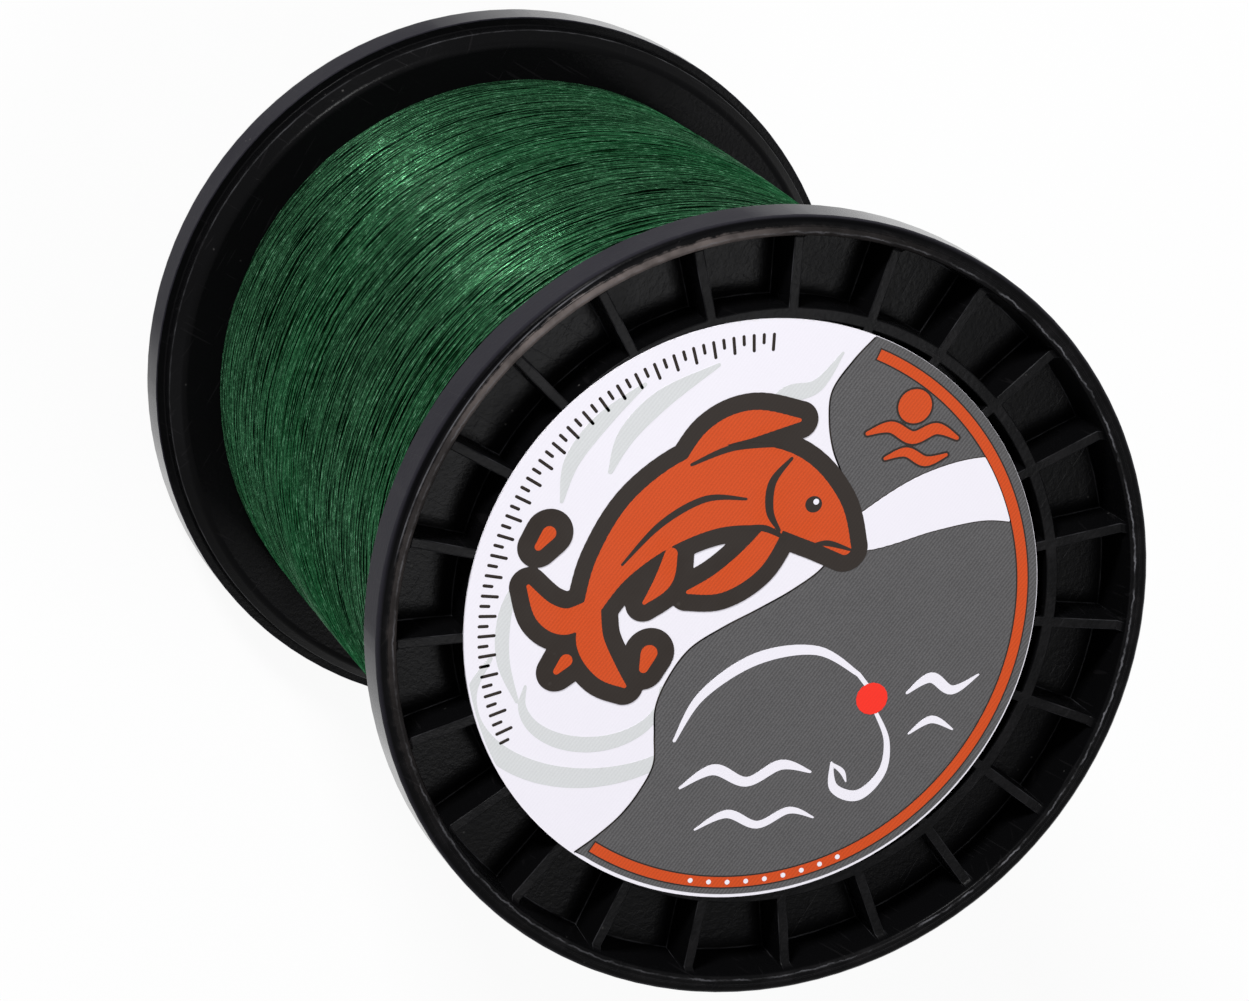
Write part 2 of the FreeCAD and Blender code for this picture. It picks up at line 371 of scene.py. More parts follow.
def emptied(owner: bpy.types.Material | bpy.types.World) -> Tree:
    """Clears the node tree of a material or a world, to build in it.

    Args:
        owner: The material or the world.

    Returns:
        Its empty tree.
    """
    owner.use_nodes = True
    owner.node_tree.nodes.clear()
    return Tree(owner.node_tree)


def new_material(name: str) -> tuple[bpy.types.Material, Tree, bpy.types.Node]:
    """Starts a material.

    Args:
        name: The material's name.

    Returns:
        The material, its empty tree with an output, and its surface shader.
    """
    material = bpy.data.materials.new(name)
    tree = emptied(material)
    shader = tree.add("ShaderNodeBsdfPrincipled")
    tree.add("ShaderNodeOutputMaterial", {"Surface": shader.outputs[0]})
    return material, tree, shader


# Finishes

def around_axis(degrees: float) -> Triple:
    """The direction square to the axis at an angle."""
    return math.cos(math.radians(degrees)), math.sin(math.radians(degrees)), 0.0


@dataclass(frozen=True)
class Stretch:
    """A stretch of the way round, in degrees: its middle, and how far each way it reaches and is full."""

    middle: float
    reach: float
    full: float

    def mask(self, tree: Tree, turn: bpy.types.NodeSocket) -> bpy.types.NodeSocket:
        """Fades the stretch in and out.

        Args:
            tree: The material's tree.
            turn: The direction from the axis to the point.

        Returns:
            The mask's socket.
        """
        near = tree.vector("DOT_PRODUCT", turn, around_axis(self.middle))
        return tree.spread(near, math.cos(math.radians(self.reach)), math.cos(math.radians(self.full)))


@dataclass(frozen=True)
class RimMarks:
    """What is painted on the front rim's face, by radius and by stretch: a band of painted shade, painted
    highlights, and a ragged burr line shown as a highlight.
    """

    painted_shade: Colour = linear(2, 2, 3)
    highlight_tint: Colour = linear(116, 107, 104)
    highlight_line: Colour = linear(100, 100, 104)
    fine: Noise = (640.0, 3.0, 0.65)
    wide: Noise = (240.0, 3.0, 0.6)
    ragged: Noise = (420.0, 3.0, 0.7)
    depth: float = 0.0012
    full_depth: float = 0.0005
    shade_inner: Range = (0.0590, 0.0593)
    shade_outer: Range = (0.0599, 0.0597)
    shade_stretch: Stretch = Stretch(120.0, 60.0, 40.0)
    glint_track: Range = (0.05950, 0.05873)
    glint_bend: float = 160.0
    glint_run: Range = (0.75, 1.0)
    glint_width: Range = (0.00013, 0.00004)
    glint_stretch: Stretch = Stretch(146.0, 27.0, 20.0)
    highlight_track: Range = (0.0592, 0.0581)
    highlight_stretch: Stretch = Stretch(123.0, 34.0, 12.0)
    soft_highlight_stretch: Stretch = Stretch(140.0, 75.0, 35.0)
    burr_radius: float = 0.05815
    burr_width: Range = (0.00016, 0.00006)
    burr_swing: float = 0.0010
    burr_highlight_stretch: Stretch = Stretch(-8.0, 75.0, 45.0)
    glint_broken: Range = (0.35, 0.6)
    glint_share: Range = (0.25, 0.75)
    highlight_from: Range = (0.92, 1.30)
    highlight_broken: Range = (0.35, 0.62)
    highlight_least: float = 0.55
    highlight_share: float = 0.74
    soft_highlight_share: float = 0.13
    burr_broken: Range = (0.42, 0.60)
    burr_share: float = 0.4
    burr_highlight_more: float = 0.5

    def paint(self, tree: Tree, place: bpy.types.NodeSocket,
              colour: bpy.types.NodeSocket) -> bpy.types.NodeSocket:
        """Paints the face: a band of painted shade, a fine painted highlight line, a stretch of painted
        highlight and a ragged burr line shown as a painted highlight.

        Args:
            tree: The material's tree.
            place: The point's place.
            colour: The colour so far.

        Returns:
            The marked colour's socket.
        """
        height = tree.add("ShaderNodeSeparateXYZ", {0: place}).outputs[2]
        on_face = tree.spread(height, SPOOL_WIDTH - self.depth, SPOOL_WIDTH - self.full_depth)
        flat = tree.vector("MULTIPLY", place, (1.0, 1.0, 0.0))
        radius = tree.vector("LENGTH", flat)
        turn = tree.vector("NORMALIZE", flat)
        fine = tree.noise(place, *self.fine)
        wide = tree.noise(place, *self.wide)

        # Painted shade: a dark band in the outer rounding, over one stretch of the rim.
        painted_shade = tree.times(tree.spread(radius, *self.shade_inner), self.shade_stretch.mask(tree, turn))
        painted_shade = tree.times(painted_shade, tree.spread(radius, *self.shade_outer))

        # Painted highlight: a fine light line whose radius bends with the angle, over one stretch.
        bend = tree.vector("DOT_PRODUCT", turn, around_axis(self.glint_bend))
        track = tree.spread(bend, *self.glint_run, *self.glint_track)
        off = tree.sum("ABSOLUTE", tree.sum("SUBTRACT", radius, track))
        glint_line = tree.times(tree.spread(off, *self.glint_width), self.glint_stretch.mask(tree, turn))
        glint_line = tree.times(glint_line, tree.spread(wide, *self.glint_broken, *self.glint_share))

        # Painted highlight: a broad light stretch on the inner part of the face, broken by noise, strong over
        # one stretch and weaker over a wider one.
        inward = tree.sum("ADD", tree.spread(radius, *self.highlight_track), fine)
        painted_highlight = tree.times(tree.spread(inward, *self.highlight_from),
                            tree.spread(wide, *self.highlight_broken, self.highlight_least, 1.0))
        hard = tree.times(self.highlight_stretch.mask(tree, turn), self.highlight_share)
        soft = tree.times(self.soft_highlight_stretch.mask(tree, turn), self.soft_highlight_share)
        painted_highlight = tree.times(painted_highlight, tree.sum("MAXIMUM", hard, soft))

        # A ragged burr line near the inner edge, shown as a painted highlight that is stronger over one
        # stretch.
        ragged = tree.sum("MULTIPLY_ADD", tree.noise(place, *self.ragged), self.burr_swing, radius)
        off = tree.sum("ABSOLUTE", tree.sum("SUBTRACT", ragged, self.burr_radius))
        strong = tree.sum("MULTIPLY_ADD", self.burr_highlight_stretch.mask(tree, turn), self.burr_highlight_more,
                          self.burr_share)
        burr_highlight = tree.times(tree.spread(off, *self.burr_width), strong)
        burr_highlight = tree.times(burr_highlight, tree.spread(wide, *self.burr_broken))

        for share, tint in ((painted_shade, self.painted_shade), (glint_line, self.highlight_line), (painted_highlight, self.highlight_tint),
                            (burr_highlight, self.highlight_line)):
            colour = tree.blend(tree.times(share, on_face), colour, tint)
        return colour


@dataclass(frozen=True)
class MouldedPlastic:
    """Black plastic as it leaves the mould: satin, faintly wavy, a little worn on its edges."""

    name: str = "black_moulded_plastic"
    colour: Colour = linear(9, 9, 10)
    band_reflection: Colour = linear(31, 30, 36)
    worn: Colour = linear(52, 50, 52)
    highlight_line: Colour = linear(100, 100, 104)
    dust: Colour = linear(120, 118, 116)
    roughness: float = 0.25
    smudged: float = 0.34
    dulled: float = 0.20
    specular: float = 0.03
    glare_roughness: float = 0.22
    glare_ior: float = 1.9
    glare_facing: Range = (0.73, 0.86)
    patches: Noise = (160.0, 4.0, 0.7)
    patch_from: Range = (0.46, 0.66)
    wear: float = 0.28
    breaks: Noise = (210.0, 3.0, 0.6)
    break_from: Range = (0.42, 0.66)
    highlight_line_share: Range = (0.05, 0.60)
    scratched: float = 0.10
    scratch_depth: float = 0.25
    dusty: float = 0.30
    relief: float = 0.00003
    rim: RimMarks = RimMarks()

    def material(self, effects: Effects) -> bpy.types.Material:
        """Builds the finish.

        Args:
            effects: The shared shader groups.

        Returns:
            The material. It reads the attributes edge, line and band, which are 1 where an edge is exposed,
            where a corner gets a painted highlight line, and on the rim's outside, which is duller and gets a
            painted reflection.
        """
        material, tree, shader = new_material(self.name)
        shader.inputs["Specular IOR Level"].default_value = self.specular
        shader.inputs["Coat Roughness"].default_value = self.glare_roughness
        shader.inputs["Coat IOR"].default_value = self.glare_ior
        place = tree.place()
        dust = tree.use(effects.dust)
        scratch = tree.use(effects.scratches).outputs["Scratch"]
        edge, line, band = (tree.attribute(name) for name in ("edge", "line", "band"))
        patchy = tree.spread(tree.noise(place, *self.patches), *self.patch_from)
        wear = tree.times(tree.times(edge, patchy), self.wear)
        marks = tree.times(scratch, self.scratched)
        # Painted reflection: the rim's outside band takes a lighter violet colour for the bright surroundings
        # it mirrors.
        colour = tree.blend(band, self.colour, self.band_reflection)
        colour = tree.blend(tree.sum("MAXIMUM", wear, marks), colour, self.worn)
        # Painted highlight: light lines on the corners and the shoulder's crest that carry the line
        # attribute, broken in places.
        broken = tree.spread(tree.noise(place, *self.breaks), *self.break_from, *self.highlight_line_share)
        colour = tree.blend(tree.times(line, broken), colour, self.highlight_line)
        # The rim's face gets its painted shade and painted highlights here.
        colour = self.rim.paint(tree, place, colour)
        colour = tree.blend(tree.times(dust.outputs["Speck"], self.dusty), colour, self.dust)
        rough = tree.spread(dust.outputs["Smudge"], 0.0, 1.0, self.roughness, self.smudged)
        rough = tree.sum("ADD", rough, tree.times(tree.sum("MAXIMUM", wear, band), self.dulled))
        grain = tree.use(effects.grain, {"Grain": 1500.0, "Waves": 110.0, "Wave Share": 0.9})
        height = tree.sum("MULTIPLY_ADD", scratch, -self.scratch_depth, grain.outputs["Height"])
        facing = tree.add("ShaderNodeLayerWeight", {"Blend": 0.5}).outputs["Facing"]
        glare = tree.times(tree.spread(facing, *self.glare_facing), band)
        tree.join(shader, {"Base Color": colour, "Roughness": rough, "Coat Weight": glare,
                           "Normal": tree.bump(height, self.relief)})
        return material


@dataclass(frozen=True)
class BraidedLine:
    """Green braided line: four carriers laid over each other, with a light wax on them."""

    name: str = "green_braid"
    glint: Colour = linear(142, 204, 164)
    limb: Colour = linear(168, 200, 178)
    bright: Colour = linear(76, 142, 97)
    deep: Colour = linear(9, 40, 22)
    groove_shade: Colour = linear(0, 4, 2)
    roughness: float = 0.24
    matted: float = 0.32
    sheen: float = 0.75
    wax: float = 0.20
    wax_on_fleck: float = 0.50
    wax_roughness: float = 0.26
    carriers: float = 243.0
    slip: float = 9400.0
    fleck: float = 850.0
    fleck_across: float = 2600.0
    fibres: Noise = (1.0, 2.0, 0.7)
    weave_share: float = 0.4
    waxed_facing: Range = (0.10, 0.60)
    fleck_from: Range = (0.57, 0.70)
    fleck_share: Range = (0.10, 0.66)
    lit_by_tone: Range = (0.9, 0.40)
    dark_side: Range = (0.45, 0.98)
    dark_depth: Range = (-0.50, 0.10)
    darkest: float = 0.97
    relief: float = 0.000012
    shade: float = 1.0

    def material(self) -> bpy.types.Material:
        """Builds the finish.

        Returns:
            The material. It reads the attributes around, tone, rise and crest of the wound line.
        """
        material, tree, shader = new_material(self.name)
        shader.inputs["Specular IOR Level"].default_value = 0.0
        shader.inputs["Metallic"].default_value = self.sheen
        shader.inputs["Specular Tint"].default_value = self.limb
        shader.inputs["Coat Roughness"].default_value = self.wax_roughness
        around, tone, rise, crest = (tree.attribute(name) for name in ("around", "tone", "rise", "crest"))
        place = tree.place()

        parts = tree.add("ShaderNodeSeparateXYZ", {0: place}).outputs
        angle = tree.sum("ARCTAN2", parts[1], parts[0])
        steps = tree.sum("MULTIPLY_ADD", angle, self.carriers, tree.times(parts[2], self.slip))
        lean = tree.times(around, TURN * 2)
        right = tree.sum("SINE", tree.sum("ADD", steps, lean))
        left = tree.sum("SINE", tree.sum("SUBTRACT", steps, lean))
        weave = tree.spread(tree.times(right, left), -1.0, 1.0)
        thread = tree.vector("MULTIPLY", place, (self.fleck, self.fleck, self.fleck_across))
        fuzz = tree.noise(thread, *self.fibres)

        streak = tree.sum("MULTIPLY_ADD", weave, self.weave_share,
                          tree.spread(fuzz, 0.35, 0.65, 0.0, 1.0 - self.weave_share))
        lit = tree.times(streak, tree.sum("MULTIPLY_ADD", tone, *self.lit_by_tone))
        colour = tree.blend(tree.add("ShaderNodeClamp", {0: lit}).outputs[0], self.deep, self.bright)
        # Painted highlight: bright glints on scattered flecks of the fibres.
        fleck = tree.times(tree.spread(fuzz, *self.fleck_from),
                           tree.spread(tone, 0.2, 0.8, *self.fleck_share))
        colour = tree.blend(fleck, colour, self.glint)
        # Painted shade: the strands' flanks and the strands that lie low take the groove shade colour, as
        # shade between the turns; shade sets how much of a strand keeps its own colour.
        side = tree.spread(crest, *self.dark_side, self.darkest, 1.0 - self.shade)
        sunk = tree.spread(rise, *self.dark_depth, 0.98, 0.0)
        shade_share = tree.sum("MAXIMUM", side, sunk)
        colour = tree.blend(shade_share, colour, self.groove_shade)

        facing = tree.add("ShaderNodeLayerWeight", {"Blend": 0.5}).outputs["Facing"]
        open_face = tree.spread(facing, *self.waxed_facing, 1.0, 0.0)
        wax = tree.times(open_face, tree.spread(shade_share, 0.2, 0.9, 1.0, 0.0))
        on_fleck = tree.spread(fleck, 0.0, self.fleck_share[1], self.wax, self.wax_on_fleck)
        wax = tree.times(wax, on_fleck)
        height = tree.sum("MULTIPLY_ADD", fuzz, 0.6, weave)
        rough = tree.spread(fuzz, 0.3, 0.7, self.matted, self.roughness)
        tree.join(shader, {"Base Color": colour, "Roughness": rough, "Coat Weight": wax,
                           "Normal": tree.bump(height, self.relief)})
        return material


@dataclass(frozen=True)
class Ink:
    """One printed colour on the label's satin card, with the fine screen of the press in it."""

    name: str
    colour: Colour
    screen: float = 0.0
    roughness: float = 0.38
    smudged: float = 0.50
    specular: float = 0.06
    screen_pitch: float = 0.00050
    screen_angle: float = 0.62
    fine: Noise = (5200.0, 1.0, 0.5)
    blotches: Noise = (240.0, 3.0, 0.6)
    mottle: float = 0.06
    dust: Colour = linear(150, 146, 142)
    dusty: float = 0.10
    relief: float = 0.00001

    def material(self, effects: Effects) -> bpy.types.Material:
        """Builds the finish.

        Args:
            effects: The shared shader groups.

        Returns:
            The material.
        """
        material, tree, shader = new_material(self.name)
        shader.inputs["Specular IOR Level"].default_value = self.specular
        place = tree.place()
        turned = tree.add("ShaderNodeVectorRotate",
                          {"Vector": place, "Axis": (0.0, 0.0, 1.0), "Angle": self.screen_angle})
        across = tree.add("ShaderNodeSeparateXYZ", {0: turned.outputs[0]})
        lines = tree.sum("SINE", tree.times(across.outputs[0], TURN / self.screen_pitch))
        fine = tree.spread(tree.noise(place, *self.fine), 0.25, 0.75, -1.0, 1.0)
        mottle = tree.spread(tree.noise(place, *self.blotches), 0.3, 0.7, -self.mottle, self.mottle)
        dots = tree.sum("MULTIPLY_ADD", lines, 0.5, tree.times(fine, 0.5))
        level = tree.sum("MULTIPLY_ADD", tree.sum("ADD", dots, mottle), self.screen, 1.0)
        shaded = tree.add("ShaderNodeVectorMath", {0: self.colour[:3], 3: level}, operation="SCALE")
        dust = tree.use(effects.dust, {"Specks": 260.0})
        specks = tree.times(dust.outputs["Speck"], self.dusty)
        colour = tree.blend(specks, shaded.outputs[0], self.dust)
        grain = tree.use(effects.grain, {"Grain": 3600.0, "Waves": 40.0, "Wave Share": 1.0})
        rough = tree.spread(dust.outputs["Smudge"], 0.0, 1.0, self.roughness, self.smudged)
        tree.join(shader, {"Base Color": colour, "Roughness": rough,
                           "Normal": tree.bump(grain.outputs["Height"], self.relief)})
        return material


@dataclass(frozen=True)
class PaperTape:
    """Cream masking tape: creped paper."""

    name: str = "paper_tape"
    colour: Colour = linear(222, 208, 160)
    creased: Colour = linear(190, 172, 122)
    creased_share: float = 0.35
    crepe: Range = (0.6, 1.4)
    roughness: Range = (0.7, 0.85)
    relief: float = 0.0001

    def material(self, effects: Effects) -> bpy.types.Material:
        """Builds the finish.

        Args:
            effects: The shared shader groups.

        Returns:
            The material.
        """
        material, tree, shader = new_material(self.name)
        grain = tree.use(effects.grain, {"Grain": 1200.0, "Waves": 300.0, "Wave Share": 1.0})
        crepe = grain.outputs["Height"]
        share = tree.spread(crepe, *self.crepe, 0.0, self.creased_share)
        colour = tree.blend(share, self.colour, self.creased)
        rough = tree.spread(crepe, *self.crepe, *self.roughness)
        tree.join(shader, {"Base Color": colour, "Roughness": rough, "Normal": tree.bump(crepe, self.relief)})
        return material


# Pieces

def new_object(name: str, data: bpy.types.ID) -> bpy.types.Object:
    """Puts an object in the scene.

    Args:
        name: The object's name.
        data: Its mesh, curve, camera or light.

    Returns:
        The object.
    """
    item = bpy.data.objects.new(name, data)
    bpy.context.scene.collection.objects.link(item)
    return item


def new_piece(name: str, mesh: bpy.types.Mesh, replaced: Sequence[str] = ()) -> bpy.types.Object:
    """Makes a mesh a piece of the spool.

    Args:
        name: The piece's name.
        mesh: Its mesh, already in place.
        replaced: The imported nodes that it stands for.

    Returns:
        The piece.
    """
    mesh.name = name
    piece = new_object(name, mesh)
    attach(piece, BODY)
    if replaced:
        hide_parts(*replaced)
    LOG.info("%s: %d faces", name, len(mesh.polygons))
    return piece


def dress(mesh: bpy.types.Mesh, material: bpy.types.Material) -> bpy.types.Mesh:
    """Gives a mesh its one material.

    Args:
        mesh: The mesh.
        material: Its finish.

    Returns:
        The same mesh.
    """
    mesh.materials.clear()
    mesh.materials.append(material)
    return mesh


def dress_node(name: str, material: bpy.types.Material) -> None:
    """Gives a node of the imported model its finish, and leaves its mesh alone."""
    dress(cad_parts[name].data, material)
    LOG.info("%s: packed mesh in %s", name, material.name)


def finished(work: bmesh.types.BMesh, name: str) -> bpy.types.Mesh:
    """Makes a plain mesh of a working one, which is freed.

    Args:
        work: The working mesh.
        name: The mesh's name.

    Returns:
        The plain mesh.
    """
    mesh = bpy.data.meshes.new(name)
    work.to_mesh(mesh)
    work.free()
    return mesh


def grow(mesh: bpy.types.Mesh, group: bpy.types.NodeTree, values: dict[str, object]) -> bpy.types.Mesh:
    """Runs a geometry tree on a mesh and keeps the result as a plain mesh.

    Args:
        mesh: What goes into the tree.
        group: The geometry tree.
        values: The value of each of its inputs by name.

    Returns:
        The plain mesh.
    """
    carrier = new_object("carrier", mesh)
    modifier = carrier.modifiers.new("grow", "NODES")
    modifier.node_group = group
    for item in group.interface.items_tree:
        if item.in_out == "INPUT" and item.name in values:
            modifier[item.identifier] = values[item.name]
    depsgraph = bpy.context.evaluated_depsgraph_get()
    grown = bpy.data.meshes.new_from_object(carrier.evaluated_get(depsgraph),
                                            preserve_all_data_layers=True, depsgraph=depsgraph)
    carrier.modifiers.remove(modifier)
    bpy.data.objects.remove(carrier)
    bpy.data.meshes.remove(mesh)
    return grown


def face_outwards(mesh: bpy.types.Mesh) -> bpy.types.Mesh:
    """Turns every face of closed shells outwards.

    Args:
        mesh: The mesh.

    Returns:
        The same mesh.
    """
    work = bmesh.new()
    work.from_mesh(mesh)
    bmesh.ops.recalc_face_normals(work, faces=work.faces)
    work.to_mesh(mesh)
    work.free()
    return mesh


def ring_array_tree() -> bpy.types.NodeTree:
    """Repeats the incoming mesh about the +Z axis over a sweep, and welds the copies where they meet.

    Returns:
        The geometry tree.
    """
    tree, given, end = new_group(
        "ring_array", "GeometryNodeTree",
        {"Geometry": ("NodeSocketGeometry", None), "Count": ("NodeSocketInt", 6),
         "Sweep": ("NodeSocketFloat", TURN), "Weld": ("NodeSocketFloat", 0.000001),
         "Finish": ("NodeSocketMaterial", None)},
        {"Geometry": "NodeSocketGeometry"})
    points = tree.add("GeometryNodePoints", {"Count": given["Count"]})
    number = tree.add("GeometryNodeInputIndex").outputs[0]
    angle = tree.sum("DIVIDE", tree.times(number, given["Sweep"]), given["Count"])
    euler = tree.add("ShaderNodeCombineXYZ", {2: angle})
    turned = tree.add("FunctionNodeEulerToRotation", {0: euler.outputs[0]})
    copies = tree.add("GeometryNodeInstanceOnPoints", {
        "Points": points.outputs[0], "Instance": given["Geometry"], "Rotation": turned.outputs[0]})
    whole = tree.add("GeometryNodeRealizeInstances", {0: copies.outputs[0]})
    welded = tree.add("GeometryNodeMergeByDistance",
                      {"Geometry": whole.outputs[0], "Distance": given["Weld"]})
    tree.end_geometry(end, welded.outputs[0], given["Finish"])
    return tree.tree


def round_corners(corners: Sequence[Triple], wide: float = 0.0004, kept: float = 0.12) -> list[Point]:
    """Rounds the corners of a profile.

    Args:
        corners: Across, up and the rounding radius of each corner. The two ends aren't rounded.
        wide: From this radius a rounding has three faces, and below it two.
        kept: How far past each rounding a point keeps the flat beside it flat, as a share of the radius.

    Returns:
        The points of the rounded profile.
    """
    points = [corners[0][:2]]
    for before, (across, up, radius), after in zip(corners, corners[1:], corners[2:]):
        corner = Vector((across, up))
        back = (Vector(before[:2]) - corner).normalized()
        ahead = (Vector(after[:2]) - corner).normalized()
        half = back.angle(ahead) / 2
        if radius == 0.0 or half > math.radians(89):
            points.append((across, up))
            continue
        reach = radius / math.tan(half)
        centre = corner + (back + ahead).normalized() * (radius / math.sin(half))
        start = corner + back * reach - centre
        swing = (math.pi - 2 * half) * (1 if start.cross(corner - centre) > 0 else -1)
        steps = 3 if radius >= wide else 2
        rounded = [centre + Matrix.Rotation(swing * step / steps, 2) @ start for step in range(steps + 1)]
        if kept > 0.0:
            rounded = [rounded[0] + back * kept * radius, *rounded, rounded[-1] + ahead * kept * radius]
        points += [(point.x, point.y) for point in rounded]
    points.append(corners[-1][:2])
    return points


@dataclass
class Marks:
    """How far a point shows an exposed edge, a painted highlight line and the rim's duller outside with its
    painted reflection, from 0 to 1.
    """

    edge: float = 0.0
    line: float = 0.0
    band: float = 0.0


@dataclass
class Station:
    """One step of the flange's section: its radius and height, and how far the pockets sink it there."""

    radius: float
    height: float
    sink: float = 0.0
    marks: Marks = field(default_factory=Marks)


@dataclass
class Lane:
    """One line across a rib and its pocket: beside the rib's middle, or on into the pocket by a part."""

    offset: float
    part: float
    sink: float
    edge: float = 0.0
    line: float = 0.0


@dataclass
class Flange:
    """One flange moulding. Its own frame has the rim's face at the bottom and the barrel above."""

    outer_radius: float = 0.05998
    rim_width: float = 0.0076
    rim_wall: float = 0.0029
    rim_taper: float = 0.0007
    rim_round: float = 0.0012
    ridge_radius: float = 0.05865
    ridge_height: float = 0.00010
    lip_width: float = 0.0012
    lip_round: float = 0.0006
    crest_highlight: float = 0.50
    land_radius: float = 0.05855
    shoulder_height: float = 0.0022
    shoulder_lean: float = 0.00025
    shoulder_round: float = 0.0005
    web_radius: float = 0.0565
    web_blend: float = 0.0014
    rib_recess: float = 0.0018
    pocket_depth: float = 0.0079
    pocket_length: float = 0.0111
    web_thickness: float = 0.0023
    rib_count: int = 23
    rib_thickness: float = 0.0015
    ring_wall: float = 0.0018
    hub_radius: float = 0.024
    hub_rib_count: int = 6
    hub_rib_thickness: float = 0.0018
    bore_radius: float = 0.008
    boss_wall: float = 0.0024
    boss_depth: float = 0.010
    spigot_radius: float = 0.0359
    spigot_wall: float = 0.002
    spool_turn: float = math.radians(12.8)
    draft: float = 0.00008
    edge_round: float = 0.00018
    foot_round: float = 0.00022
    lanes_between: int = 2
    near_share: float = 0.9

    def __post_init__(self) -> None:
        """Works out the radii and heights that follow from the sizes."""
        self.rim_inner = self.outer_radius - self.rim_wall
        self.floor_radius = self.rim_inner - self.rim_taper
        self.floor = self.rib_recess + self.pocket_depth
        self.web = self.floor + self.web_thickness
        self.ring_radius = self.rim_inner - self.pocket_length
        self.boss_radius = self.bore_radius + self.boss_wall

    def walls(self, outer: float, inner: float) -> list[Triple]:
        """The section of a round wall that stands on the pockets' floor, from outside to inside.

        Args:
            outer: The wall's outer radius at its top.
            inner: Its inner radius at its top.

        Returns:
            The corners, each with its rounding radius.
        """
        return [
            (outer + self.draft, self.floor, self.foot_round),
            (outer, self.rib_recess, self.edge_round),
            (inner, self.rib_recess, self.edge_round),
            (inner - self.draft, self.floor, self.foot_round),
        ]

    def face_section(self) -> list[Point]:
        """The section's face side between the ribs.

        Returns:
            Its points from the rim's outer edge to the bore.
        """
        ridge = self.ridge_height
        lip = self.rim_inner + self.lip_width
        corners = [
            (self.outer_radius, self.rim_width / 2, 0.0),
            (self.outer_radius, ridge, self.rim_round),
            (self.ridge_radius + ridge / 2, ridge, ridge / 4),
            (self.ridge_radius - ridge / 2, 0.0, ridge / 3),
            (self.ridge_radius - ridge * 2.5, ridge * 0.7, ridge * 1.5),
            (lip, ridge * 0.5, ridge * 1.5),
            (lip - self.lip_width * 0.35, 0.0, ridge * 2),
            (self.rim_inner, ridge * 0.3, self.lip_round),
            (self.floor_radius, self.floor, self.foot_round),
            *self.walls(self.ring_radius, self.ring_radius - self.ring_wall),
            *self.walls(self.hub_radius, self.hub_radius - self.ring_wall),
            (self.boss_radius + self.draft, self.floor, self.foot_round),
            (self.boss_radius, self.rib_recess, self.edge_round),
            (self.bore_radius, self.rib_recess, self.edge_round * 2),
            (self.bore_radius, self.web, 0.0),
        ]
        return round_corners(corners)

    def web_section(self) -> list[Point]:
        """The section's barrel side.

        Returns:
            Its points from the bore to the rim's outer edge.
        """
        boss_end = self.web + self.boss_depth
        corners = [
            (self.bore_radius, self.web, 0.0),
            (self.bore_radius, boss_end, self.edge_round * 2),
            (self.boss_radius, boss_end, self.edge_round),
            (self.boss_radius, self.web, self.foot_round),
            (self.spigot_radius - self.spigot_wall, self.web, self.foot_round),
            (self.spigot_radius - self.spigot_wall, boss_end, self.edge_round),
            (self.spigot_radius, boss_end, self.edge_round),
            (self.spigot_radius, self.web, self.foot_round),
            (self.web_radius, self.web, self.web_blend),
            (self.land_radius - self.shoulder_lean, self.rim_width + self.shoulder_height,
             self.shoulder_round),
            (self.land_radius, self.rim_width, self.foot_round),
            (self.outer_radius, self.rim_width, self.edge_round),
            (self.outer_radius, self.rim_width / 2, 0.0),
        ]
        return round_corners(corners)

    def stations(self) -> list[Station]:
        """The whole closed section with its marks.

        Returns:
            The steps from the rim's outer edge over the face and back by the web.
        """
        found = []
        hub = self.hub_radius - self.ring_wall / 2
        near_edge = self.edge_round * self.near_share
        for radius, height in self.face_section():
            ribbed = hub < radius < self.rim_inner and height > self.rib_recess
            top = self.rib_recess if ribbed else height
            marks = Marks()
            if height < self.ridge_height * 1.2 or abs(height - self.rib_recess) < near_edge:
                marks.edge = 0.5
            # The rim's outside band, which gets a painted reflection.
            if radius > self.outer_radius - self.rim_round * 0.25:
                marks.band = 1.0
            # Painted highlight line at the foot of a wall.
            if self.in_foot(self.floor - height):
                marks.line = 0.8
            found.append(Station(radius, top, height - top, marks))
        crest = self.rim_width + self.shoulder_height
        for radius, height in self.web_section()[1:-1]:
            # The shoulder's crest gets a painted highlight line.
            on_crest = radius > self.web_radius and abs(height - crest) < self.shoulder_round * 0.25
            on_band = radius > self.outer_radius - self.edge_round
            marks = Marks(line=self.crest_highlight if on_crest else 0.0, band=1.0 if on_band else 0.0)
            found.append(Station(radius, height, marks=marks))
        return found

    def in_foot(self, above: float) -> bool:
        """Whether a height above the floor lies in the middle of the rounding at a wall's foot."""
        return self.foot_round / 12 < above < self.foot_round / 2

    def lanes(self) -> list[Lane]:
        """The lines across half a rib and half a pocket.

        Returns:
            The lines from the rib's middle to the pocket's.
        """
        half = self.rib_thickness / 2
        section = round_corners([
            (0.0, 0.0, 0.0),
            (half, 0.0, self.edge_round),
            (half + self.draft, self.pocket_depth, self.foot_round),
            (half + self.draft + self.foot_round * 2, self.pocket_depth, 0.0),
        ])
        on_rib = []
        # The rib's top edge and its foot carry edge wear and painted highlight lines.
        for offset, sink in section:
            lane = Lane(offset, 0.0, sink / self.pocket_depth, 0.4)
            if 0 < sink < self.edge_round * self.near_share:
                lane.edge = 0.8
                lane.line = 0.4
            if self.in_foot(self.pocket_depth - sink):
                lane.line = 1.0
            on_rib.append(lane)
        foot = section[-1][0]
        between = [Lane(foot, step / self.lanes_between, 1.0) for step in range(1, self.lanes_between + 1)]
        return on_rib + between

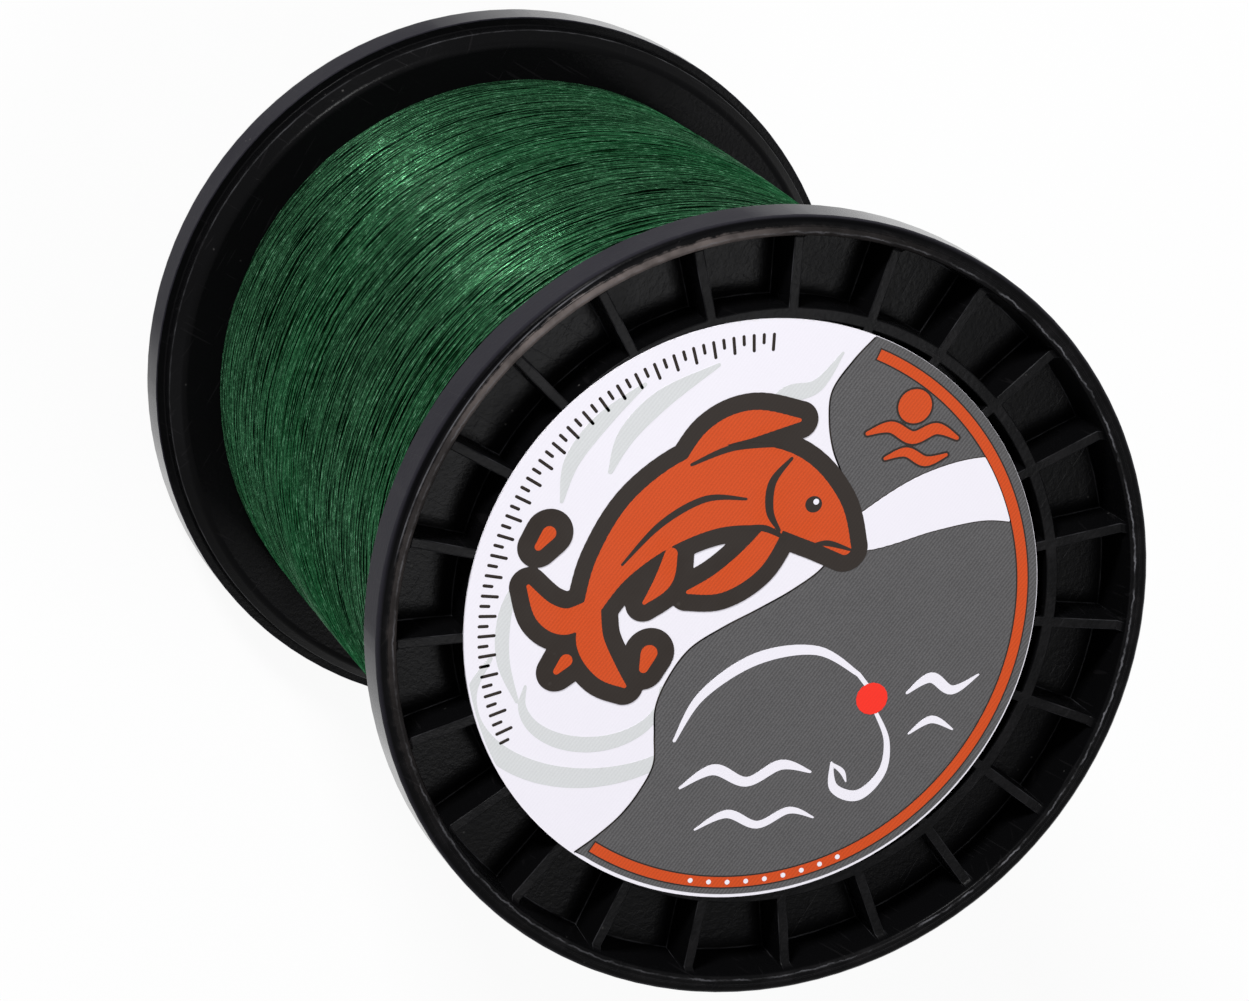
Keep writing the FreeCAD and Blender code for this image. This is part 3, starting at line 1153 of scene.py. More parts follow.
    def sector(self) -> bpy.types.Mesh:
        """Builds the stretch of flange from one pocket's middle to the next, with a rib along +X.

        Returns:
            The stretch as an open band.
        """
        half_sector = TURN / self.rib_count / 2
        stations = self.stations()
        lanes = self.lanes()
        sided = [(lane, -1.0) for lane in reversed(lanes[1:])] + [(lane, 1.0) for lane in lanes]
        work = bmesh.new()
        layers = {name: work.verts.layers.float.new(name) for name in ("edge", "line", "band")}
        rows = []
        for lane, side in sided:
            row = []
            for station in stations:
                beside = math.asin(lane.offset / station.radius)
                angle = side * (beside + lane.part * (half_sector - beside))
                vert = work.verts.new((station.radius * math.cos(angle), station.radius * math.sin(angle),
                                       station.height + station.sink * lane.sink))
                sunk = station.sink * lane.sink > self.edge_round * self.near_share
                on_top = lane.edge if station.sink > 0 else station.marks.edge
                vert[layers["edge"]] = 0.0 if sunk else on_top
                vert[layers["line"]] = self.highlight_line(station, lane)
                vert[layers["band"]] = station.marks.band
                row.append(vert)
            rows.append(row)
        for row, following in zip(rows, rows[1:]):
            ring = list(zip(row, following))
            for (a, b), (c, d) in zip(ring, ring[1:] + ring[:1]):
                work.faces.new((a, c, d, b))
        return finished(work, "sector")

    def highlight_line(self, station: Station, lane: Lane) -> float:
        """How far a point lies on a painted highlight line.

        Args:
            station: The point's step along the section.
            lane: Its line across the rib and its pocket.

        Returns:
            1 on a corner that has one, and 0 elsewhere.
        """
        deep = station.sink > self.pocket_depth - self.foot_round * 1.05
        on_wall = station.marks.line if lane.sink > 0.98 or station.sink == 0.0 else 0.0
        return max(on_wall, lane.line if deep else 0.0)

    def hub_rib(self) -> bpy.types.Mesh:
        """Builds one short rib between boss and hub ring, along +X.

        Returns:
            The rib, closed, with its ends a little way into the walls.
        """
        near = self.boss_radius - self.boss_wall / 2
        far = self.hub_radius - self.ring_wall / 2
        half = self.hub_rib_thickness / 2
        buried = self.floor + self.web_thickness / 2
        side = round_corners([
            (0.0, self.rib_recess, 0.0),
            (half, self.rib_recess, self.edge_round),
            (half + self.draft, self.floor, self.foot_round),
            (half + self.foot_round * 2, self.floor, 0.0),
        ]) + [(half + self.foot_round * 2, buried)]
        outline = [(-across, up) for across, up in reversed(side)] + side[1:]
        work = bmesh.new()
        ends = [[work.verts.new((along, across, up)) for across, up in outline] for along in (near, far)]
        for end in ends:
            work.faces.new(end)
        pairs = list(zip(*ends))
        for (a, b), (c, d) in zip(pairs, pairs[1:] + pairs[:1]):
            work.faces.new((a, b, d, c))
        return finished(work, "hub_rib")

    def build(self, repeat: bpy.types.NodeTree, plastic: bpy.types.Material) -> bpy.types.Mesh:
        """Builds the moulding in its own frame.

        Args:
            repeat: The tree that repeats a mesh about the axis.
            plastic: The flange's finish.

        Returns:
            The whole moulding as one mesh.
        """
        body = grow(self.sector(), repeat, {"Count": self.rib_count, "Finish": plastic})
        ribs = grow(self.hub_rib(), repeat, {"Count": self.hub_rib_count, "Finish": plastic})
        work = bmesh.new()
        work.from_mesh(body)
        work.from_mesh(ribs)
        bmesh.ops.recalc_face_normals(work, faces=work.faces)
        bmesh.ops.transform(work, matrix=Matrix.Rotation(self.spool_turn, 4, "Z"), verts=work.verts)
        for face in work.faces:
            face.smooth = True
        work.to_mesh(body)
        work.free()
        bpy.data.meshes.remove(ribs)
        return body

    def turned_over(self, mesh: bpy.types.Mesh) -> bpy.types.Mesh:
        """A copy of the moulding turned over about a level line, as the front flange stands.

        Args:
            mesh: The moulding in its own frame.

        Returns:
            The copy, in its place.
        """
        line = Vector((math.cos(self.spool_turn), math.sin(self.spool_turn), 0.0))
        copy = mesh.copy()
        copy.transform(Matrix.Translation((0.0, 0.0, SPOOL_WIDTH)) @ Matrix.Rotation(math.pi, 4, line))
        return copy


@dataclass(frozen=True)
class Unevenness:
    """Noise on the wound line: how fast it changes round the spool and along it, its detail and its seed."""

    around: float
    along: float
    detail: float
    shift: float


@dataclass
class Winding:
    """The line as it lies on the barrel: a plain bed, a lower layer and the outer one that shows."""

    bed_radius: float = 0.0496
    inner_radius: float = 0.0381
    edge_radius: float = 0.0502
    crown: float = 0.0008
    line_diameter: float = 0.00035
    pitch: float = 0.000412
    samples: int = 110
    sides: int = 6
    wander: float = 0.00024
    lift: float = 0.00020
    bundle: float = 0.0016
    crowding: float = 0.00022
    below: float = 0.00034
    settled: float = 0.0015
    crown_power: float = 2.6
    slow_share: float = 0.8
    drift_reach: float = 5.0
    least_gathered: float = 0.15
    heaping: float = -0.6
    climb_share: float = 0.7
    sway: Unevenness = Unevenness(5.0, 2100.0, 1.0, 0.0)
    slow_sway: Unevenness = Unevenness(6.0, 700.0, 1.0, 7.0)
    drift: Unevenness = Unevenness(1.6, 260.0, 2.0, 43.0)
    gathering: Unevenness = Unevenness(5.0, 420.0, 1.0, 57.0)
    climbing: Unevenness = Unevenness(6.0, 780.0, 2.0, 19.0)
    toning: Unevenness = Unevenness(8.0, 2400.0, 1.0, 31.0)

    def layer_tree(self) -> bpy.types.NodeTree:
        """Winds one run of line as a helix with uneven spacing.

        Returns:
            The geometry tree.
        """
        tree, given, end = new_group(
            "wound_run", "GeometryNodeTree",
            {"Geometry": ("NodeSocketGeometry", None), "Turns": ("NodeSocketFloat", 10.0),
             "Samples": ("NodeSocketInt", 96), "Sides": ("NodeSocketInt", 6),
             "Line Radius": ("NodeSocketFloat", 0.0002), "Edge Radius": ("NodeSocketFloat", 0.05),
             "Crown": ("NodeSocketFloat", 0.001), "Low": ("NodeSocketFloat", 0.0),
             "Height": ("NodeSocketFloat", 0.01), "Pack Low": ("NodeSocketFloat", 0.0),
             "Pack High": ("NodeSocketFloat", 0.1), "Wander": ("NodeSocketFloat", 0.0001),
             "Lift": ("NodeSocketFloat", 0.0001), "Bundle": ("NodeSocketFloat", 0.001),
             "Crowding": ("NodeSocketFloat", 0.0001), "Hand": ("NodeSocketFloat", 1.0),
             "Seed": ("NodeSocketFloat", 0.0), "Finish": ("NodeSocketMaterial", None)},
            {"Geometry": "NodeSocketGeometry"})
        steps = tree.sum("ROUND", tree.times(given["Turns"], given["Samples"]))
        count = tree.sum("ADD", steps, 1.0)
        line = tree.add("GeometryNodeMeshLine", {"Count": count})
        path = tree.add("GeometryNodeMeshToCurve", {0: line.outputs[0]})
        index = tree.add("GeometryNodeInputIndex").outputs[0]
        turn = tree.sum("DIVIDE", index, given["Samples"])
        angle = tree.times(tree.times(turn, TURN), given["Hand"])
        share = tree.sum("DIVIDE", index, steps)
        level = tree.sum("MULTIPLY_ADD", share, given["Height"], given["Low"])
        cosine = tree.sum("COSINE", angle)
        sine = tree.sum("SINE", angle)

        def uneven(kind: Unevenness) -> bpy.types.NodeSocket:
            """Lays noise along the line.

            Args:
                kind: How fast it changes along the line and from turn to turn.

            Returns:
                The noise's value, from -1 to 1.
            """
            place = tree.add("ShaderNodeCombineXYZ", {
                0: tree.times(cosine, kind.around),
                1: tree.times(sine, kind.around),
                2: tree.times(level, kind.along)})
            noise = tree.add("ShaderNodeTexNoise",
                             {"Vector": place.outputs[0], "W": tree.sum("ADD", given["Seed"], kind.shift),
                              "Scale": 1.0, "Detail": kind.detail}, noise_dimensions="4D")
            return tree.spread(noise.outputs[0], 0.2, 0.8, -1.0, 1.0)

        wobble = tree.sum("ADD", uneven(self.sway), tree.times(uneven(self.slow_sway), self.slow_share))
        near_low = tree.spread(tree.sum("SUBTRACT", level, given["Pack Low"]), 0.0, self.settled)
        near_high = tree.spread(tree.sum("SUBTRACT", given["Pack High"], level), 0.0, self.settled)
        free = tree.times(near_low, near_high)
        drift = tree.times(uneven(self.drift), self.drift_reach)
        phase = tree.sum("MULTIPLY_ADD", level, tree.sum("DIVIDE", TURN, given["Bundle"]), drift)
        gathered = tree.spread(uneven(self.gathering), -0.8, 0.8, self.least_gathered, 1.0)
        swing = tree.times(tree.sum("SINE", phase), gathered)
        crowd = tree.times(swing, given["Crowding"])
        shift = tree.sum("MULTIPLY_ADD", wobble, given["Wander"], crowd)
        height = tree.sum("MULTIPLY_ADD", shift, free, level)
        middle = tree.sum("DIVIDE", tree.sum("ADD", given["Pack Low"], given["Pack High"]), 2.0)
        reach = tree.sum("SUBTRACT", given["Pack High"], middle)
        off = tree.sum("ABSOLUTE", tree.sum("DIVIDE", tree.sum("SUBTRACT", level, middle), reach))
        full = tree.sum("SUBTRACT", 1.0, tree.sum("POWER", off, self.crown_power))
        radius = tree.sum("MULTIPLY_ADD", full, given["Crown"], given["Edge Radius"])
        heaped = tree.times(tree.sum("COSINE", phase), tree.times(gathered, self.heaping))
        rise = tree.sum("MULTIPLY_ADD", uneven(self.climbing), self.climb_share, heaped)
        radius = tree.sum("MULTIPLY_ADD", rise, given["Lift"], radius)
        place = tree.add("ShaderNodeCombineXYZ", {
            0: tree.times(radius, cosine),
            1: tree.times(radius, sine),
            2: height})
        wound = tree.add("GeometryNodeSetPosition",
                         {"Geometry": path.outputs[0], "Position": place.outputs[0]})
        tone = tree.spread(uneven(self.toning), -0.7, 0.7)
        marked = tree.store(tree.store(wound.outputs[0], "tone", tone), "rise", rise)
        ring = tree.add("GeometryNodeCurvePrimitiveCircle",
                        {"Resolution": given["Sides"], "Radius": given["Line Radius"]})
        around = tree.sum("DIVIDE", tree.add("GeometryNodeInputIndex").outputs[0], given["Sides"])
        profile = tree.store(ring.outputs[0], "around", around)
        tube = tree.add("GeometryNodeCurveToMesh",
                        {"Curve": marked, "Profile Curve": profile, "Fill Caps": True})
        point = tree.add("GeometryNodeInputPosition").outputs[0]
        outwards = tree.vector("NORMALIZE", tree.vector("MULTIPLY", point, (1.0, 1.0, 0.0)))
        crest = tree.vector("DOT_PRODUCT", tree.add("GeometryNodeInputNormal").outputs[0], outwards)
        whole = tree.add("GeometryNodeRealizeInstances", {0: tree.store(tube.outputs[0], "crest", crest)})
        tree.end_geometry(end, whole.outputs[0], given["Finish"])
        return tree.tree

    def run(self, tree: bpy.types.NodeTree, low: float, high: float, pack: Range, below: float,
            hand: float, seed: float, finish: bpy.types.Material) -> bpy.types.Mesh:
        """Winds one run between two heights.

        Args:
            tree: The winding tree.
            low: The height of its first turn.
            high: The height of its last turn.
            pack: The heights of the whole pack's ends.
            below: How far under the outer layer it lies.
            hand: 1 or -1, the way round.
            seed: What makes its unevenness its own.
            finish: Its material.

        Returns:
            The run as one closed tube.
        """
        values = {
            "Turns": (high - low) / self.pitch, "Samples": self.samples, "Sides": self.sides,
            "Line Radius": self.line_diameter / 2, "Edge Radius": self.edge_radius - below,
            "Crown": self.crown, "Low": low, "Height": high - low, "Pack Low": pack[0],
            "Pack High": pack[1], "Wander": self.wander, "Lift": self.lift, "Bundle": self.bundle,
            "Crowding": self.crowding, "Hand": hand, "Seed": seed, "Finish": finish,
        }
        return face_outwards(grow(bpy.data.meshes.new("start"), tree, values))

    def bed(self, low: float, high: float) -> bpy.types.Mesh:
        """Builds the plain ring that stands for the lower layers; it takes the darker copy of the braid,
        painted shade, as only shade shows between the turns.

        Args:
            low: Where it begins.
            high: Where it ends.

        Returns:
            The closed ring.
        """
        section = [(self.inner_radius, low), (self.bed_radius, low), (self.bed_radius, high),
                   (self.inner_radius, high)]
        return lathe(section, self.samples)

    def build(self, low: float, high: float) -> None:
        """Winds the line between the flanges, each layer in two halves, and lays the bed under it.

        Args:
            low: The height of the rear flange's web.
            high: The height of the front flange's web.
        """
        braid = BraidedLine().material()
        # A darker copy of the braid for the lower layer and the bed: painted shade under the outer turns.
        shaded_braid = BraidedLine(name="green_braid_below_shaded", shade=0.12).material()
        tree = self.layer_tree()
        pack = (low + self.line_diameter / 2, high - self.line_diameter / 2)
        cut = (pack[0] + pack[1]) / 2
        for name, below, hand, seed, finish, replaced in (
                ("outer_turns", 0.0, 1.0, 3.0, braid, ["line_turns"]),
                ("lower_turns", self.below, -1.0, 11.0, shaded_braid, [])):
            for part, start, stop in (("rear", pack[0], cut), ("front", cut, pack[1])):
                mesh = self.run(tree, start, stop, pack, below, hand, seed, finish)
                new_piece(name + "_" + part, mesh, replaced)
        new_piece("line_bed", dress(self.bed(low, high), shaded_braid), ["line_core"])


def lathe(section: Sequence[Point], segments: int) -> bpy.types.Mesh:
    """Turns a closed section about the +Z axis.

    Args:
        section: The radius and height of each point of the outline.
        segments: How many faces go round.

    Returns:
        The closed ring.
    """
    work = bmesh.new()
    rings = []
    for step in range(segments):
        angle = TURN * step / segments
        rings.append([work.verts.new((radius * math.cos(angle), radius * math.sin(angle), height))
                      for radius, height in section])
    for ring, following in zip(rings, rings[1:] + rings[:1]):
        pairs = list(zip(ring, following))
        for (a, b), (c, d) in zip(pairs, pairs[1:] + pairs[:1]):
            work.faces.new((a, b, d, c))
    bmesh.ops.recalc_face_normals(work, faces=work.faces)
    return finished(work, "ring")


# The label

PAST_ALL_PRINT = 1000.0
ON_THE_OUTLINE = 1e-6


def smooth_path(points: Sequence[Sequence[float]], steps: int = 8) -> list[tuple[float, ...]]:
    """Runs a smooth path through points, with whatever else each point carries.

    Args:
        points: The points, each with the same count of numbers.
        steps: How many steps lie between two points.

    Returns:
        The closer points.
    """
    padded = [points[0], *points, points[-1]]
    path = []
    for before, here, there, after in zip(padded, padded[1:], padded[2:], padded[3:]):
        for step in range(steps):
            t = step / steps
            path.append(tuple(
                0.5 * (2 * b + (c - a) * t + (2 * a - 5 * b + 4 * c - d) * t * t
                       + (3 * b - a - 3 * c + d) * t * t * t)
                for a, b, c, d in zip(before, here, there, after)))
    return [*path, tuple(points[-1])]


def brush_stroke(points: Sequence[Triple], margin: float = 0.0, cap_steps: int = 8) -> list[Point]:
    """The outline of a brush stroke with round ends.

    Args:
        points: Across, up and the half width at each point, in millimetres.
        margin: How much wider it is all round.
        cap_steps: How many steps each round end has.

    Returns:
        The closed outline.
    """
    path = smooth_path(points)
    left, right = [], []
    for number, (across, up, half) in enumerate(path):
        before = path[max(number - 1, 0)]
        after = path[min(number + 1, len(path) - 1)]
        heading = Vector((after[0] - before[0], after[1] - before[1])).normalized()
        side = Vector((-heading.y, heading.x)) * (half + margin)
        left.append((across + side.x, up + side.y))
        right.append((across - side.x, up - side.y))
    caps = []
    for end, neighbour in ((path[-1], path[-2]), (path[0], path[1])):
        heading = Vector((end[0] - neighbour[0], end[1] - neighbour[1])).normalized()
        side = Vector((-heading.y, heading.x))
        reach = end[2] + margin
        cap = []
        for step in range(1, cap_steps):
            angle = math.pi / 2 - math.pi * step / cap_steps
            away = heading * math.cos(angle) + side * math.sin(angle)
            cap.append((end[0] + away.x * reach, end[1] + away.y * reach))
        caps.append(cap)
    return [*left, *caps[0], *reversed(right), *caps[1]]


def merged_strokes(strokes: Iterable[Stroke], margin: float, reach: float,
                   step: float = 0.2) -> list[list[Point]]:
    """The outlines of overlapping brush strokes as one shape, found on a fine grid.

    Args:
        strokes: The strokes, in millimetres.
        margin: How much wider than the strokes the shape is all round.
        reach: The radius about the middle that the shape keeps inside.
        step: The grid's step in millimetres.

    Returns:
        The closed outlines, those of holes too.
    """
    count = int(2 * (reach + step) / step) + 2
    ticks = (np.arange(count) - (count - 1) / 2) * step
    across, up = np.meshgrid(ticks, ticks, indexing="ij")
    away = np.full(across.shape, PAST_ALL_PRINT)
    for stroke in strokes:
        path = smooth_path(stroke)
        for (x0, y0, half0), (x1, y1, half1) in zip(path, path[1:]):
            length = max((x1 - x0) ** 2 + (y1 - y0) ** 2, ON_THE_OUTLINE ** 2)
            part = np.clip(((across - x0) * (x1 - x0) + (up - y0) * (y1 - y0)) / length, 0.0, 1.0)
            gap = np.hypot(across - x0 - part * (x1 - x0), up - y0 - part * (y1 - y0))
            away = np.minimum(away, gap - (half0 + part * (half1 - half0)) - margin)
    away = np.maximum(away, np.hypot(across, up) - reach)
    away[np.abs(away) < ON_THE_OUTLINE] = ON_THE_OUTLINE
    return grid_outlines(away, ticks)


def grid_outlines(away: np.ndarray, ticks: np.ndarray) -> list[list[Point]]:
    """Follows the zero line through a grid of distances.

    Args:
        away: The distance at each grid point, below zero inside the shape.
        ticks: The grid's places along both axes.

    Returns:
        The closed outlines.
    """
    inside = away < 0

    def crossing(first: tuple[int, int], second: tuple[int, int]) -> Point:
        """Finds where the zero line cuts the step between two grid points.

        Args:
            first: One grid point's numbers.
            second: The other's.

        Returns:
            The place.
        """
        share = away[first] / (away[first] - away[second])
        return (float(ticks[first[0]] + share * (ticks[second[0]] - ticks[first[0]])),
                float(ticks[first[1]] + share * (ticks[second[1]] - ticks[first[1]])))

    cut = (inside[:-1, :-1] != inside[1:, :-1]) | (inside[:-1, :-1] != inside[:-1, 1:])
    cut |= (inside[1:, 1:] != inside[1:, :-1]) | (inside[1:, 1:] != inside[:-1, 1:])
    following = {}
    for column, row in np.argwhere(cut):
        column, row = int(column), int(row)
        ring = [(column, row), (column + 1, row), (column + 1, row + 1), (column, row + 1)]
        cuts = [(a, b) for a, b in zip(ring, ring[1:] + ring[:1]) if inside[a] != inside[b]]
        entries = [tuple(sorted(pair)) for pair in cuts if inside[pair[0]]]
        exits = [tuple(sorted(pair)) for pair in cuts if not inside[pair[0]]]
        for entry, leave in zip(entries, exits):
            following[entry] = leave
    outlines = []
    while following:
        start, here = following.popitem()
        outline = [crossing(*start)]
        while here != start and here in following:
            outline.append(crossing(*here))
            here = following.pop(here)
        outlines.append(outline)
    return outlines


def arc(radius: float, start: float, stop: float, step: float = 2.0) -> list[Point]:
    """Points along an arc about the label's middle.

    Args:
        radius: The arc's radius in millimetres.
        start: The angle in degrees that it starts at.
        stop: The angle that it ends at.
        step: About how far apart the points are, in degrees.

    Returns:
        The points.
    """
    count = max(2, round(abs(stop - start) / step))
    angles = [math.radians(start + (stop - start) * part / count) for part in range(count + 1)]
    return [(radius * math.cos(angle), radius * math.sin(angle)) for angle in angles]


@dataclass(frozen=True)
class Print:
    """One printed layer of the label: its shapes, its ink and how high it lies over the card."""

    name: str
    ink: Ink
    layer: int
    shapes: Outlines


@dataclass
class Label:
    """The card disc's print: a leaping fish over ripples, and a cast line with its float on a grey field.

    All print is drawn in millimetres about the card's middle, with +Y up.
    """

    across: float = -0.002084
    up: float = -0.000256
    top: float = 0.1426
    radius: float = 44.6
    bare_edge: float = 0.3
    layer_height: float = 0.00002
    ring_outer: float = 43.0
    ring_inner: float = 41.4
    ring_start: float = -121.0
    ring_stop: float = 69.0
    bead_arc: Triple = (-98.0, -66.0, 4.0)
    bead_half: float = 0.38
    field_shift: Point = (0.18, 0.2)
    field_line: float = 0.12
    swell_line: float = 0.14
    swell_gap: float = 0.15
    ring_line: float = 0.22
    sunrise_line: float = 0.3
    fish_line: float = 2.6
    fish_eye: Triple = (7.7, 17.0, 0.45)
    float_bead: Triple = (19.9, -13.6, 2.5)
    ripple_middle: Point = (-24.0, -13.0)
    ink_buried: float = 0.2
    tick_count: int = 56
    tick_sweep: float = math.radians(118.0)
    tick_start: float = math.radians(92.0)
    tick_inner: Range = (40.0, 41.1)
    tick_outer: float = 42.3
    tick_half: float = 0.24

    white: Ink = Ink("card_white", linear(238, 235, 243), 0.02)
    grey: Ink = Ink("ink_grey", linear(88, 87, 88), 0.42)
    pale: Ink = Ink("ink_pale_grey", linear(212, 214, 215), 0.06)
    orange: Ink = Ink("ink_orange", linear(203, 76, 30), 0.16)
    dark: Ink = Ink("ink_dark_brown", linear(46, 40, 36), 0.12)
    red: Ink = Ink("ink_red", linear(246, 52, 38), 0.04)

    def field_edge(self) -> list[Point]:
        """The wave-shaped left edge of the grey field.

        Returns:
            Its points from the top of the card to its foot.
        """
        return [point[:2] for point in smooth_path([
            (14.2, 41.9), (8.5, 34.0), (9.5, 25.0), (13.0, 16.5), (10.0, 7.0), (0.5, 0.5), (-9.5, -5.5),
            (-14.0, -14.5), (-13.5, -23.5), (-18.0, -31.5), (-24.4, -36.9)])]

    def field(self) -> list[Point]:
        """The grey field's outline, which keeps a little to the right and up on the card.

        Returns:
            Its closed outline.
        """
        edge = self.field_edge()
        start, stop = (math.degrees(math.atan2(up, across)) for across, up in (edge[-1], edge[0]))
        right, higher = self.field_shift
        round_side = arc(self.radius - self.bare_edge, start, stop)
        return [*edge, *((across + right, up + higher) for across, up in round_side)]

    def ring(self, margin: float) -> list[Point]:
        """The orange band along the field's round side.

        Args:
            margin: How much wider it is all round.

        Returns:
            Its closed outline.
        """
        outer = self.ring_outer + margin
        inner = self.ring_inner - margin
        more = math.degrees(margin / outer)
        start, stop = self.ring_start - more, self.ring_stop + more
        return [*arc(outer, start, stop), *arc(inner, stop, start)]

    def swell(self) -> list[Stroke]:
        """The white swell that runs over the field to its right side."""
        return [[(9.0, 9.4, 0.4), (17.0, 12.8, 3.2), (26.0, 17.0, 4.6), (35.0, 19.0, 4.9), (44.0, 17.6, 4.4)]]

    def fish(self) -> list[Stroke]:
        """The fish's body, tail, fins and the drops behind it.

        Returns:
            Its brush strokes.
        """
        body = [(-25.5, 0.5, 1.3), (-22.5, 7.5, 3.0), (-16.5, 14.5, 5.0), (-8.0, 19.0, 6.1),
                (1.0, 19.0, 5.8), (8.0, 15.0, 4.0), (13.0, 9.8, 1.0)]
        tail_up = [(-25.4, 0.8, 1.4), (-29.0, -1.2, 2.0), (-32.5, 0.2, 1.6), (-35.4, 4.2, 0.3)]
        tail_down = [(-25.4, 0.8, 1.4), (-25.2, -4.2, 2.1), (-22.6, -8.4, 1.7), (-19.2, -11.2, 0.3)]
        back_fin = [(-13.5, 21.6, 0.4), (-9.0, 26.6, 1.7), (-3.4, 28.8, 2.1), (3.8, 29.4, 0.3)]
        breast_fin = [(1.5, 12.6, 1.4), (-1.6, 8.0, 2.0), (-6.0, 4.6, 1.6), (-10.8, 3.2, 0.3)]
        belly_fin = [(-14.0, 9.0, 1.0), (-14.8, 5.0, 1.4), (-17.4, 1.6, 0.3)]
        drops = [[(-16.5, -8.5, 0.7), (-15.9, -6.2, 1.3)], [(-34.4, 10.2, 0.6), (-33.0, 12.2, 1.1)],
                 [(-29.9, -8.8, 0.5), (-28.6, -7.2, 1.0)]]
        return [body, tail_up, tail_down, back_fin, breast_fin, belly_fin, *drops]

    def fish_marks(self) -> list[Stroke]:
        """The dark lines within the fish: gill, side line, fin edges, mouth and eye.

        Returns:
            Their brush strokes.
        """
        return [
            [(3.2, 23.6, 0.25), (0.6, 20.0, 0.6), (0.6, 15.6, 0.6), (2.4, 12.6, 0.25)],
            [(-3.2, 17.4, 0.2), (-9.5, 17.4, 0.5), (-16.0, 13.6, 0.5), (-21.4, 7.4, 0.2)],
            [(-12.2, 22.6, 0.25), (-6.0, 25.2, 0.5), (1.2, 25.6, 0.25)],
            [(-3.6, 13.0, 0.25), (0.2, 12.9, 0.5), (3.4, 11.4, 0.25)],
            [(13.9, 9.6, 0.2), (10.4, 10.6, 0.45), (8.0, 10.4, 0.2)],
            [(7.3, 16.6, 1.25), (7.4, 16.6, 1.25)],
        ]

    def ripples(self) -> list[Stroke]:
        """The pale strokes behind the fish: ripples to the left of the field, and reeds above.

        Returns:
            Their brush strokes.
        """
        strokes = []
        across, up = self.ripple_middle
        for reach, half, start, stop in ((9.0, 1.2, 165.0, 372.0), (15.5, 1.6, 150.0, 345.0),
                                         (22.5, 1.3, 140.0, 250.0)):
            points = []
            for part in range(9):
                angle = math.radians(start + (stop - start) * part / 8)
                swell = math.sin(math.pi * (part + 0.6) / 9.2)
                points.append((across + reach * 1.2 * math.cos(angle), up + reach * 0.8 * math.sin(angle),
                               half * max(swell, 0.15)))
            strokes.append(points)
        strokes.append([(-24.5, 21.5, 0.4), (-22.5, 27.0, 1.4), (-17.5, 32.5, 1.5), (-9.5, 37.6, 0.3)])
        strokes.append([(-31.5, 17.0, 0.3), (-30.5, 23.0, 1.2), (-26.5, 29.0, 1.3), (-20.5, 34.6, 0.3)])
        strokes.append([(-2.0, 30.5, 0.3), (1.5, 33.2, 1.3), (6.0, 34.6, 1.0), (9.5, 39.6, 0.2)])
        strokes.append([(-36.5, 6.5, 0.3), (-38.5, 0.0, 1.0), (-38.2, -7.0, 1.0), (-35.5, -13.4, 0.3)])
        return strokes

    def cast_line(self) -> list[Stroke]:
        """The white strokes on the field: the cast line, the hook under the float, and wavelets.

        Returns:
            Their brush strokes.
        """
        return [
            [(-10.6, -19.8, 0.25), (-7.0, -12.8, 0.7), (1.0, -7.2, 0.95), (10.4, -6.0, 0.7),
             (17.4, -9.8, 0.35)],
            [(17.4, -9.8, 0.35), (18.8, -11.4, 0.35)],
            [(20.8, -15.8, 0.3), (23.0, -20.2, 0.45), (22.8, -25.2, 0.65), (19.4, -28.8, 0.85),
             (15.4, -27.6, 0.7), (14.6, -23.6, 0.2)],
            [(14.7, -23.8, 0.2), (16.4, -25.0, 0.4), (17.2, -26.6, 0.12)],
            [(-9.0, -27.2, 0.2), (-4.0, -24.4, 0.85), (1.4, -26.4, 0.75), (6.6, -23.8, 0.8),
             (11.4, -25.0, 0.2)],
            [(-6.0, -33.8, 0.15), (-1.2, -31.4, 0.65), (3.8, -33.2, 0.6), (8.6, -31.0, 0.55),
             (12.6, -32.2, 0.15)],
            [(25.4, -12.8, 0.2), (29.0, -10.4, 0.8), (32.6, -12.4, 0.7), (36.6, -10.0, 0.15)],
            [(26.4, -19.2, 0.15), (29.8, -17.0, 0.6), (33.4, -18.6, 0.15)],
        ]

    def sunrise(self) -> list[Stroke]:
        """The small orange sun over two waves at the top of the field.

        Returns:
            Their brush strokes.
        """
        return [
            [(21.6, 31.6, 2.6), (21.65, 31.6, 2.6)],
            [(14.6, 27.4, 0.3), (18.2, 28.4, 0.85), (21.8, 26.8, 0.95), (25.4, 28.2, 0.85),
             (28.8, 26.8, 0.3)],
            [(17.8, 23.6, 0.25), (21.0, 24.6, 0.7), (24.2, 23.2, 0.75), (27.4, 24.2, 0.25)],
        ]

    def bead(self, across: float, up: float, half: float) -> list[Point]:
        """The outline of a round dot."""
        return brush_stroke([(across - 0.005, up, half), (across + 0.005, up, half)])

    def prints(self) -> list[Print]:
        """Draws all that is printed, apart from the scale.

        Returns:
            The printed layers.
        """
        def close(outlines: Iterable[Sequence[Point]]) -> Outlines:
            """The same outlines, fixed."""
            return tuple(tuple(outline) for outline in outlines)

        def merged(strokes: list[Stroke], margin: float = 0.0,
                   reach: float = self.radius - self.bare_edge) -> Outlines:
            """The strokes as one shape that keeps within reach of the card's middle."""
            return close(merged_strokes(strokes, margin, reach))

